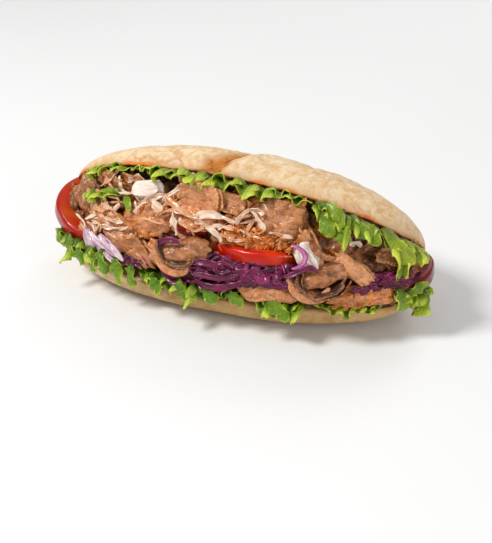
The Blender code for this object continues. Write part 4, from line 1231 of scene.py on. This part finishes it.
for name, facts in MEAT_SLICES.items():
    *place, size, bend, wave, look = facts
    seed = seed_of(name)
    made = [slices(SLICE_GRID, place, size, bend, THICKNESS, wave, seed, look)]
    under = np.array(place) + (*UNDER_MOVE, UNDER_TURNS[int(seed) % 2], UNDER_TIP)
    wider, paler = (1.02 * size[0], 1.04 * size[1]), (look[0] + 0.2, look[1], 0.7 * look[2])
    made.append(slices(UNDER_GRID, under, wider, bend, UNDER_THICKNESS, 1.3 * wave, seed + 4, paler))
    if name in SCOOP_LENSES:
        *place, size, bend, wave, look = SCOOP_LENSES[name]
        made.append(slices(SLICE_GRID, place, size, bend, WALL_THICKNESS, wave, seed, look, tear=0.5))
    if name in NEAR_RIMS:
        made.append(meat_band(*NEAR_RIMS[name]))
    piece(name + "_slice", meat, made, [name])

# %% [markdown]
# ## The heap behind the slices
# Between the large slices one looks in at more shaved meat. The solid there is one lump. It gets a finer
# surface, darker because little light reaches it, and over a hundred small shavings that lie on it every
# way, most of them short, bent and half hidden. They are drawn from one seeded generator.

# %% Heap and shavings
SHAVINGS = 140
HEAP_INWARD = 0.6  # how far the heap reaches from the mouth's face towards the hinge
around = np.linspace(-84, 84, 260)[:, None]
front_up = np.linspace(0.09, 0.91, 60)[None, :]
lumpy = 1.6 * np.sin(0.31 * around + 9 * front_up) * np.cos(0.17 * around - 7 * front_up)
front = mouth(around, front_up, (-7.5 + lumpy) * MM)
spine = stack(SPINE_REACH * heel_lip(around)[..., 0], SPINE_Y, SPINE_Z)
steps = HEAP_INWARD * np.linspace(0, 1, 12)[None, 1:, None]
top, low = front[:, -1:], front[:, :1]
top_in, low_in = top + (spine - top) * steps, low + (spine - low) * steps
back = top_in[:, -1:] + (low_in[:, -1:] - top_in[:, -1:]) * np.linspace(0, 1, 8)[None, 1:-1, None]
heap_ring = np.concatenate([front, top_in, back, low_in[:, ::-1]], axis=1)
outwards = unit(heap_ring - heap_ring.mean(1, keepdims=True))
heap_ring = heap_ring + (1.3 * MM * rough(heap_ring, 6 * MM, 3, 61))[..., None] * outwards
heap_body = tube_body(heap_ring, grain=heap_ring * (1, 1, 2), edge=0.3, pale=0.15, sauce=0.45, done=0.55)

draw, drawn = scattered(7, SHAVINGS)
around, up = drawn(-66, 70), drawn(0.12, 0.94)
up = np.minimum(up, 0.94 - 0.012 * np.clip(np.abs(around) - 48, 0, 30))  # the mouth is lower near its ends
place = (around, up, drawn(-6.5, -1.0), drawn(-75, 75), drawn(-38, 38))
size, bend = (drawn(9, 22), drawn(4, 10)), (drawn(-90, 70), drawn(-80, 110))
thickness, wave, seed = drawn(1.0, 1.9), drawn(0.5, 1.3), drawn(0, 17)
look = (drawn(0.0, 0.75), drawn(0.0, 0.9) * (np.abs(around - 8) < 30), drawn(0, 0.7))
shavings = slices((8, 13), place, size, bend, thickness, wave, seed, look)
piece("doner_heap_shavings", meat, [heap_body, shavings], ["doner_heap"])

# %% [markdown]
# ## Onion
# Onion breaks into layers: clear, wet, faintly lined pieces, white with a lilac tinge, or edged with
# purple where they come from a red onion. Light passes into them, so their finish scatters it under the
# surface.

# %% Onion finish
def onion_finish(name, clear, white, skin):
    """Clear to white in soft lines; the skin colour comes in at the edges and where the mesh is tinted."""
    made = Finish(
        name,
        Subsurface_Weight=0.35,
        Subsurface_Scale=0.003,
        Subsurface_Radius=(1.0, 0.85, 0.85),
        Coat_Roughness=0.08,
    )
    cloud = made.noise(0.006, 3.0)
    line = made.noise(0.0013, 2.0, made.stretched("grain", (0.10, 1.0, 1.0)))
    colour = made.mix((cloud * 0.6 + line * 0.7).between(0.35, 0.9), shade(*clear), shade(*white))
    edged = (made.mark("edge") * (0.5 + line * 0.8)).between(0.55, 1.05)
    skinned = (edged * 0.9 + made.mark("tint") * (0.4 + cloud)).limited()
    colour = made.mix(skinned, colour, shade(*skin))
    made.wear(Base_Color=colour, Roughness=0.24 + cloud * 0.2, Coat_Weight=0.35 + cloud * 0.3)
    made.bump(line * 0.7 + cloud * 0.3, 0.0005, 0.5)
    return made


white_onion = onion_finish("white_onion_layer", (214, 184, 166), (248, 234, 222), (226, 196, 174))
red_onion = onion_finish("red_onion_layer", (158, 100, 132), (236, 216, 220), (120, 30, 84))
purple_edge = onion_finish("red_onion_skin_edge", (150, 44, 110), (204, 120, 176), (104, 8, 66))
print("three onion finishes made")

# %% [markdown]
# A piece of onion is a few long layers side by side. They are slices like the meat's but smoother and
# cleanly cut, each tipped a little further than the one before, and strands that have come loose lie over
# them.

# %% Onion pieces
ONION_LAYERS = 4
LAYER_BEND = -60  # across each layer, in degrees
MM_PER_DEGREE = 1.75  # about what one degree round the mouth measures where the onion lies
WHITE_ONION = {
    # name: around, up, out, turn, tilt, (length, width), bend along
    "onion_white_top": (-20.5, 0.80, 4.5, 12, 14, (22, 10), -70),
    "onion_white_right": (27, 0.51, 3, -50, 10, (19, 12), -40),
}
RED_ONION = {
    "onion_red_left": (-34, 0.22, 3, -20, 0, (22, 11), -40),
    "onion_red_far_left": (-43, 0.25, 3, -50, 0, (14, 8), -40),
}
STRANDS = {
    # width in mm, then places
    "onion_white_top": ((9.0, (-25, 0.775, 6.0), (-21, 0.81, 7.5), (-16.5, 0.825, 6.0)),),
    "onion_white_right": ((6.0, (25, 0.55, 5.5), (28, 0.50, 6.5), (30.5, 0.42, 5.5)),),
    "onion_red_left": (
        (3.6, (-36, 0.33, 5), (-32, 0.25, 6), (-29, 0.18, 5)),
        (3.6, (-31.5, 0.27, 5), (-28.5, 0.23, 6), (-26, 0.16, 5)),
        (3.0, (-34, 0.18, 5), (-31, 0.14, 6), (-27.5, 0.12, 5)),
    ),
    "onion_red_far_left": ((4.2, (-40, 0.34, 5), (-37, 0.28, 6), (-33, 0.23, 5)),),
}
ONION_KINDS = (
    # pieces, slot, finish, and how far their layers are spread
    (WHITE_ONION, "white_onion", white_onion, 0.3),
    (RED_ONION, "red_onion", red_onion, 0.5),
)


def onion_layers(facts, seed, spread):
    """Layers of onion side by side, each a narrow curved sheet that overlaps the next."""
    around, up, out, turn, tilt, (length, width), bend = facts
    step = np.linspace(-0.5, 0.5, ONION_LAYERS)
    sideways, turning = step * width * spread, math.radians(turn)
    place = (
        around - sideways * math.sin(turning) / MM_PER_DEGREE,
        up + sideways * math.cos(turning) * MM / MOUTH_TALL,
        out + 0.5 * np.cos(5 * step + seed),
        turn + 7 * step,
        tilt + 34 * step,
    )
    size, bend = (length * (1 - 0.5 * step**2), width * (1.15 - spread)), (bend, LAYER_BEND)
    return slices((18, 60), place, size, bend, thickness=1.9, wave=0.2, seed=seed + step, tear=0.0)


def strand(width, *path):
    """A loose strand, with skin along one side."""
    points, thick, flat, _, v = swept(
        path, width, band_profile, cup=1.0, roll=(-15, 20), ruffle=(0.3, 1.0), thickness=1.2, grid=(11, 40)
    )
    return sheet(points, thick, grain=flat, edge=0.8 * np.clip(v, 0, 1) ** 2)


for pieces, slot, finish, spread in ONION_KINDS:
    for name, facts in pieces.items():
        parts = [onion_layers(facts, seed_of(name), spread)] + [strand(*row) for row in STRANDS[name]]
        piece(name + "_layers", finish, parts, [name])

# %% [markdown]
# A thin ring of red onion lies over the tomato. It is a narrow band swept along part of a circle that
# lies in the mouth's face, proud in the middle of its run; its outer edge keeps the purple skin.

# %% Onion ring
RING_PLACE, RING_RADIUS, RING_WIDTH = (22.5, 0.49, 7), 8, 2.56
RING_START, RING_END = math.radians(-80), math.radians(95)
RING_FLATNESS, RING_THICKNESS = 0.8, 1.1
around, up, out = RING_PLACE
_, _, along, rise, outward = mouth_frame(float(around))
u, v = np.linspace(0, 1, 90)[None, :], np.linspace(0, 1, 12)[:, None]
angle = RING_START + (RING_END - RING_START) * u
taper = 1 - 0.6 * np.abs(2 * u - 1) ** 4
reach = (RING_RADIUS + 0.5 * jagged(u, 0.3, 3) + RING_WIDTH * taper * (v - 0.5)) * MM
circle = np.cos(angle)[..., None] * along + RING_FLATNESS * np.sin(angle)[..., None] * rise
proud = (2 * np.cos(angle) + 0.7 * np.sin(math.pi * v)) * MM
ring = mouth(around, up, out * MM) + reach[..., None] * circle + proud[..., None] * outward
thick = RING_THICKNESS * MM * (0.5 + 0.5 * np.sin(math.pi * v))
grain = stack(RING_RADIUS * MM * angle, reach, 0)
band = sheet(ring, thick, edge=np.clip(1.7 * v - 0.45, 0, 1), grain=grain)
piece("onion_red_ring_band", purple_edge, [band], ["onion_red_ring"])

# %% [markdown]
# ## Red cabbage
# Finely cut cabbage is a tangle of stiff curved strips. A strip is narrow and thick for a sheet, purple
# on its faces and pinkish where it was cut, and it keeps the curl of the head that it came from.

# %% Cabbage finish
purple = Finish(
    "cut_red_cabbage",
    Subsurface_Weight=0.10,
    Subsurface_Scale=0.0015,
    Subsurface_Radius=(1.0, 0.2, 0.7),
    Coat_Roughness=0.1,
    Specular_IOR_Level=0.3,
)
edge, light = purple.mark("edge"), purple.mark("pale")
cloud = purple.noise(0.004, 3.0)
line = purple.noise(0.0009, 2.0, purple.stretched("grain", (0.12, 1.0, 1.0)))
colour = purple.mix((cloud * 0.7 + line * 0.5).between(0.3, 0.85), shade(34, 0, 22), shade(122, 3, 66))
colour = purple.mix((light * (0.4 + line * 0.9)).between(0.5, 1.0) * 0.45, colour, shade(176, 40, 116))
cut_edge = (edge * (0.5 + cloud * 0.8)).between(0.78, 1.10)
colour = purple.mix(cut_edge * 0.6, colour, shade(216, 120, 184))
# painted shade: the lump, marked with a pale of -1, is drawn dark to stand for the gaps between the strips
colour = purple.darken((light * -1).limited() * 0.8, colour, shade(110, 70, 100))
purple.wear(Base_Color=colour, Roughness=0.34 + line * 0.25, Coat_Weight=0.14 + cloud * 0.28)
purple.bump(line * 0.7 + cloud * 0.3, 0.0007, 0.9)
print("cabbage finish made")

# %% [markdown]
# A dark lump of the solid's shape carries the strips; its darkness is painted shade for the gaps between
# them. Each strip starts somewhere on the lump's front and wanders over it, turning steadily as it goes, so
# most of them run along the loaf and some curl right round. Their places, lengths, widths and curls are
# drawn at random, and all strips are worked out at once.

# %% Heaps of cabbage
CABBAGES = {
    # name: around, up, out, (length, height, depth) of the heap in mm, turn, strips
    "cabbage_mid": (8, 0.25, -1, (82, 19, 20), 1, 60),
    "cabbage_right": (57.3, 0.405, -0.8, (30, 11, 12), -4, 20),
    "cabbage_left": (-22.6, 0.185, 1.4, (17, 7, 8), -13, 10),
}
HALF_SECTION = np.array(((-1, -0.25), (-0.7, -0.5), (0.7, -0.5), (1, -0.25)))
SECTION = np.concatenate([HALF_SECTION, -HALF_SECTION])  # of a strip, across and through it, at width 2
STRIP_THICKNESS = 0.95 * MM
LUMP_SHARE = 0.80  # the lump's size beside the solid's; the strips fill the rest


def cabbage_shade_lump(middle, axes, half, around):
    """A lump: x^2 + y^2 + z^2 = 1 stretched to its size, made uneven by waves and noise."""
    polar, turn = np.linspace(0.03, math.pi - 0.03, 60)[:, None], np.linspace(0, 2 * math.pi, 49)[None, :-1]
    ball = stack(-np.cos(polar), np.sin(polar) * np.cos(turn), np.sin(polar) * np.sin(turn))
    uneven = 1 + 0.12 * np.sin(7 * ball[..., :1] + 2 * around) * np.cos(5 * ball[..., 1:2])
    lump = middle + (ball * half * uneven * LUMP_SHARE) @ axes
    lump = lump + 0.8 * MM * rough(lump, 3 * MM, 3, 71)[..., None] * (ball @ axes)
    # a pale of -1 marks the lump for painted shade in the finish
    return tube_body(lump, grain=lump, edge=0.0, pale=-1.0)


def cabbage_strips(middle, axes, half, seed, strips):
    """Strips whose heading is lean + curl s: the sums of its cosine and sine give x and y on the lump."""
    draw, drawn = scattered(seed, strips)
    at = drawn(-0.98, 0.98)
    level = drawn(-1, 0.5) * np.sqrt(1 - 0.9 * at**2)
    behind_slab = (at > 0.15) & (level < -0.2)  # a slab of meat lies before that corner
    level = np.where(behind_slab, -0.5 * level, level)
    lean = np.radians(draw.normal(0, 18, strips))[:, None]
    curl = (drawn(0.8, 3.6) * draw.choice((-1, 1), strips))[:, None]
    length = (drawn(9, 24) * min(1.0, 2 * half[0] / (50 * MM)) * MM)[:, None]
    width, twist, pale = drawn(2.0, 4.8) * MM, drawn(-0.8, 0.8)[:, None], drawn(0, 1) ** 1.5
    s = np.linspace(-0.5, 0.5, 25)[None, :]
    heading = lean + curl * s
    step = length * (s[0, 1] - s[0, 0])
    x = np.cumsum(np.cos(heading) * step, axis=1) - np.cos(lean) * length / 2
    y = np.cumsum(np.sin(heading) * step, axis=1) - np.sin(lean) * length / 2
    px, py = at[:, None] + x / half[0], 0.92 * level[:, None] + y / half[1]
    cover = np.sqrt(np.clip(1 - np.clip(px, -1, 1) ** 2 - np.clip(py, -1, 1) ** 2, 0.04, 1))
    lifted = drawn(0.0, 0.16)[:, None] + 0.10 * np.sin(9 * s + 6 * curl)
    path = stack(px * half[0], py * half[1], (LUMP_SHARE * cover + lifted) * half[2])
    tangent = unit(np.gradient(path, axis=1))
    side = unit(np.cross(np.array((0.0, 0.0, 1.0)), tangent))
    side, normal = rotated(side, np.cross(tangent, side), (twist + 1.3 * twist * s)[..., None])
    taper = (1 - 0.75 * np.abs(2 * s) ** 4)[..., None]
    wide = width[:, None, None] * taper * SECTION[:, 0] / 2
    thick = STRIP_THICKNESS * taper * SECTION[:, 1]
    rings = path[:, :, None] + side[:, :, None] * wide[..., None] + normal[:, :, None] * thick[..., None]
    grain = stack((length * s)[..., None], wide, at[:, None, None] * 0.1)
    cut = np.abs(SECTION[:, 0]) ** 3
    return tube_body(middle + rings @ axes, edge=cut, pale=pale[:, None, None], grain=grain)


def cabbage(facts):
    """A lump and its strips, in the mouth's directions turned by so many degrees."""
    around, up, out, size, turn, strips = facts
    half, middle = np.array(size) * MM / 2, mouth(around, up, out * MM)
    _, _, along, rise, outward = mouth_frame(float(around))
    axes = np.array((*rotated(along, rise, math.radians(turn)), outward))
    seed = int(abs(around) * 10) + strips
    return [cabbage_shade_lump(middle, axes, half, around), cabbage_strips(middle, axes, half, seed, strips)]


print("a strip's section has", len(SECTION), "corners")

# %% [markdown]
# A few wider shreds lie over the heaps where one would pick them out. They are bands along curves whose
# places are given one by one, with a light cut edge on one side.

# %% Loose shreds
LOOSE_SHREDS = {
    # width in mm, then places
    "cabbage_mid": (
        (3.2, (-14, 0.36, 7.5), (-12, 0.41, 8), (-9, 0.44, 8), (-7, 0.42, 7)),
        (3.2, (21, 0.31, 8), (25, 0.37, 8.5), (28, 0.43, 8.5), (31, 0.40, 8)),
        (3.4, (-3, 0.20, 9), (0, 0.20, 9.5), (4, 0.21, 9.5), (8.5, 0.27, 9)),
        (4.4, (-3, 0.28, 9.5), (-0.5, 0.31, 10), (2, 0.31, 10), (5, 0.30, 9.5)),
        (
            2.6,
            (6.5, 0.29, 10), (4.5, 0.26, 10.5), (3, 0.27, 10.5),
            (3, 0.32, 10.5), (5, 0.34, 10), (7, 0.31, 9.5),
        ),
        (4.0, (-2, 0.15, 8.5), (1, 0.11, 9), (5.5, 0.14, 9), (10, 0.22, 9)),
    ),
    "cabbage_right": (
        (2.4, (52, 0.45, 4.5), (55, 0.42, 6), (58, 0.43, 6), (61, 0.47, 5)),
        (2.8, (53, 0.38, 5), (57, 0.355, 6.5), (61, 0.36, 6), (64, 0.40, 5)),
        (2.2, (55, 0.47, 5), (56, 0.42, 6.8), (58, 0.38, 7), (60, 0.36, 6.5)),
        (2.0, (59, 0.44, 5.5), (61.5, 0.43, 6.5), (64, 0.44, 6), (67, 0.47, 5)),
    ),
}


def loose_shred(width, *path):
    """A wide shred that lies over the others, with a light cut edge."""
    points, thick, flat, _, v = swept(
        path, width, band_profile, cup=0.7, roll=(-20, 25), ruffle=(0.3, 1.2), thickness=1.0, grid=(11, 48)
    )
    return sheet(points, thick, grain=flat, edge=np.clip(v, 0, 1) ** 2, pale=0.45)


for name, facts in CABBAGES.items():
    parts = cabbage(facts) + [loose_shred(*shred) for shred in LOOSE_SHREDS.get(name, ())]
    piece(name + "_strips", purple, parts, [name])

# %% [markdown]
# ## Pale ribbons
# White cabbage and onion are shredded into the middle of the meat. They are soft, half clear ribbons:
# cream or pinkish white, with golden edges where the juice has stained them. The ones in front follow
# curves that were read off, a few places each; smaller ones lie scattered behind them.

# %% Pale ribbons
pale_finish = onion_finish("pale_ribbons", (216, 176, 142), (246, 230, 214), (210, 130, 58))
RIBBONS = (
    # out, width (mm), tint; then places from end to end: around, up
    (4.0, 4.0, 0.2, (-23, 0.59), (-21, 0.69), (-18, 0.75), (-14, 0.79)),
    (4.5, 6.0, 0.1, (-18, 0.73), (-16, 0.68), (-14, 0.63)),
    (4.5, 4.5, 0.2, (-14, 0.73), (-12, 0.81), (-10, 0.85), (-8.5, 0.89)),
    (5.0, 4.0, 0.7, (-14, 0.78), (-10, 0.70), (-6, 0.65), (-3, 0.65)),
    (4.5, 3.2, 0.7, (-15, 0.61), (-13, 0.65), (-10, 0.67), (-7, 0.64)),
    (5.0, 4.8, 0.0, (-10.5, 0.67), (-9.5, 0.58), (-8, 0.49)),
    (5.0, 2.6, 0.6, (-8, 0.63), (-6, 0.56), (-3, 0.55), (-1.5, 0.60)),
    (4.5, 5.0, 0.1, (-5.5, 0.64), (-2, 0.68), (1.5, 0.69), (5.5, 0.66)),
    (4.5, 5.0, 0.0, (-4, 0.62), (-1, 0.60), (1.5, 0.55), (3, 0.49)),
    (6.0, 3.8, 0.1, (6, 0.66), (7, 0.75), (9.5, 0.81), (13, 0.79)),
    (5.5, 2.8, 0.2, (9, 0.80), (11.5, 0.73), (14, 0.66)),
    (4.0, 2.8, 0.3, (1.5, 0.59), (3, 0.62), (5.5, 0.60)),
    (3.2, 2.8, 0.4, (-35, 0.51), (-31, 0.495), (-27, 0.50)),
    (3.0, 2.2, 0.5, (-37, 0.42), (-30.5, 0.425), (-25, 0.47)),
    (3.4, 2.2, 0.6, (-33, 0.37), (-28, 0.355), (-23, 0.40)),
    (3.0, 3.0, 0.5, (-32, 0.76), (-28.5, 0.75), (-25, 0.75)),
    (3.5, 4.0, 0.6, (-40, 0.79), (-37, 0.87), (-34, 0.95)),
    (3.0, 3.5, 0.3, (-37, 0.64), (-35, 0.60), (-32.5, 0.59)),
    (3.5, 2.6, 0.5, (-43, 0.75), (-38, 0.70), (-34.5, 0.62)),
    (2.8, 2.2, 0.6, (-41, 0.45), (-37, 0.435), (-32, 0.42)),
    (4.0, 2.6, 0.3, (4, 0.54), (6, 0.53), (9, 0.55)),
    (4.0, 2.4, 0.5, (15, 0.66), (19, 0.65), (22, 0.65)),
    (4.0, 3.6, 0.0, (40, 0.70), (42, 0.74), (44.5, 0.72)),
    (4.0, 3.0, 0.9, (0, 0.56), (3, 0.55), (6, 0.55)),
    (1.5, 9.0, 0.5, (-11.5, 0.89), (-9, 0.92), (-6, 0.93)),
    (1.0, 8.0, 0.7, (-30, 0.86), (-26, 0.88), (-22, 0.86)),
    (3.0, 5.0, 0.6, (-41, 0.60), (-38, 0.57), (-35, 0.58)),
)
SMALL_RIBBONS = 48
GATHERED = 21  # the small ones lie round the first places of this many of the ribbons above


def torn_profile(seed):
    """Nearly one width all along, rounded at both ends and uneven in between."""

    def profile(s):
        return np.sqrt(np.clip(1 - np.abs(2 * s - 1) ** 5, 0.02, 1)) * (0.74 + 0.26 * np.sin(7 * s + seed))

    return profile


def soft_ribbon(out, width, tint, *path):
    """A clear band that turns about its length, so that it shows now its face, now its edge."""
    roll = (25 * math.sin(31 * path[0][1]), 45 * math.sin(17 * path[-1][1]))
    places = [(*place, out) for place in path]
    profile = torn_profile(40 * abs(path[0][0] + path[-1][1]))
    points, thick, flat, s, v = swept(
        places, width, profile, cup=0.9, roll=roll, ruffle=(0.9, 1.7), thickness=0.65, grid=(9, 44)
    )
    points = points + 0.5 * MM * stack(*(rough(points, 4 * MM, 2, k) for k in (66, 67, 68)))
    blotched = 0.75 + 1.1 * rough(points, 5 * MM, 2, 58)
    tinted = np.clip((0.12 + tint * 1.1) * blotched + 0.3 * s**4, 0, 1)
    return sheet(points, thick, grain=flat, edge=0.5 * np.abs(v) ** 4, tint=tinted)


draw, drawn = scattered(19, SMALL_RIBBONS)
spots = np.array([row[3] for row in RIBBONS])[draw.integers(0, GATHERED, SMALL_RIBBONS)]
spots = spots + draw.normal(0, 1, (SMALL_RIBBONS, 2)) * (4, 0.05)
place = (spots[:, 0], spots[:, 1], drawn(0.5, 2.6), drawn(-80, 80), drawn(-30, 30))
size, bend = (drawn(6, 15), drawn(1.2, 3.2)), (drawn(-130, 110), -50)
small = slices((6, 18), place, size, bend, thickness=0.8, wave=0.5, seed=drawn(0, 17), tear=0.0)
small[2]["tint"] = np.repeat(drawn(0, 0.9), len(small[0]) // SMALL_RIBBONS)
piece("pale_ribbons", pale_finish, [soft_ribbon(*row) for row in RIBBONS] + [small])

# %% [markdown]
# ## Crumbled meat in sauce
# Over the tomato the meat has broken into crumbs that the sauce holds together. Each crumb is a small
# ball, stretched along three directions of its own and pushed in and out by noise; they are scattered
# over a patch of the mouth.

# %% Crumbs in sauce
CRUMBS = 330
draw, drawn = scattered(23, CRUMBS)
spread = draw.normal(0, 1, (CRUMBS, 2))
around = np.clip(10 + 9.5 * spread[:, 0], -12, 34)
up = 0.585 - 0.0012 * (around - 10) + 0.035 * spread[:, 1]
centre = mouth(around, up, drawn(-1.0, 2.6) * MM)[:, None, None]
size = (0.5 * MM + 1.8 * MM * drawn(0, 1) ** 1.7)[:, None, None]
polar, turn = np.linspace(0.35, math.pi - 0.35, 6)[:, None], np.linspace(0, 2 * math.pi, 9)[None, :-1]
ball = stack(np.cos(polar), np.sin(polar) * np.cos(turn), np.sin(polar) * np.sin(turn)) * (1.3, 1, 0.8)
crumb_rings = centre + size[..., None] * (ball @ unit(draw.normal(0, 1, (CRUMBS, 3, 3)))[:, None])
crumb_rings = crumb_rings + (0.45 * size * lumps(crumb_rings, 1.3 * MM, 81))[..., None]
pale, sauce, done = (drawn(low, high)[:, None, None] for low, high in ((0.3, 1.0), (0.3, 1.2), (0, 0.3)))
crumbs = tube_body(crumb_rings, grain=crumb_rings, edge=0.5, pale=pale, sauce=sauce, done=done)
piece("doner_crumbs", meat, [crumbs])

# %% Update
bpy.context.view_layer.update()
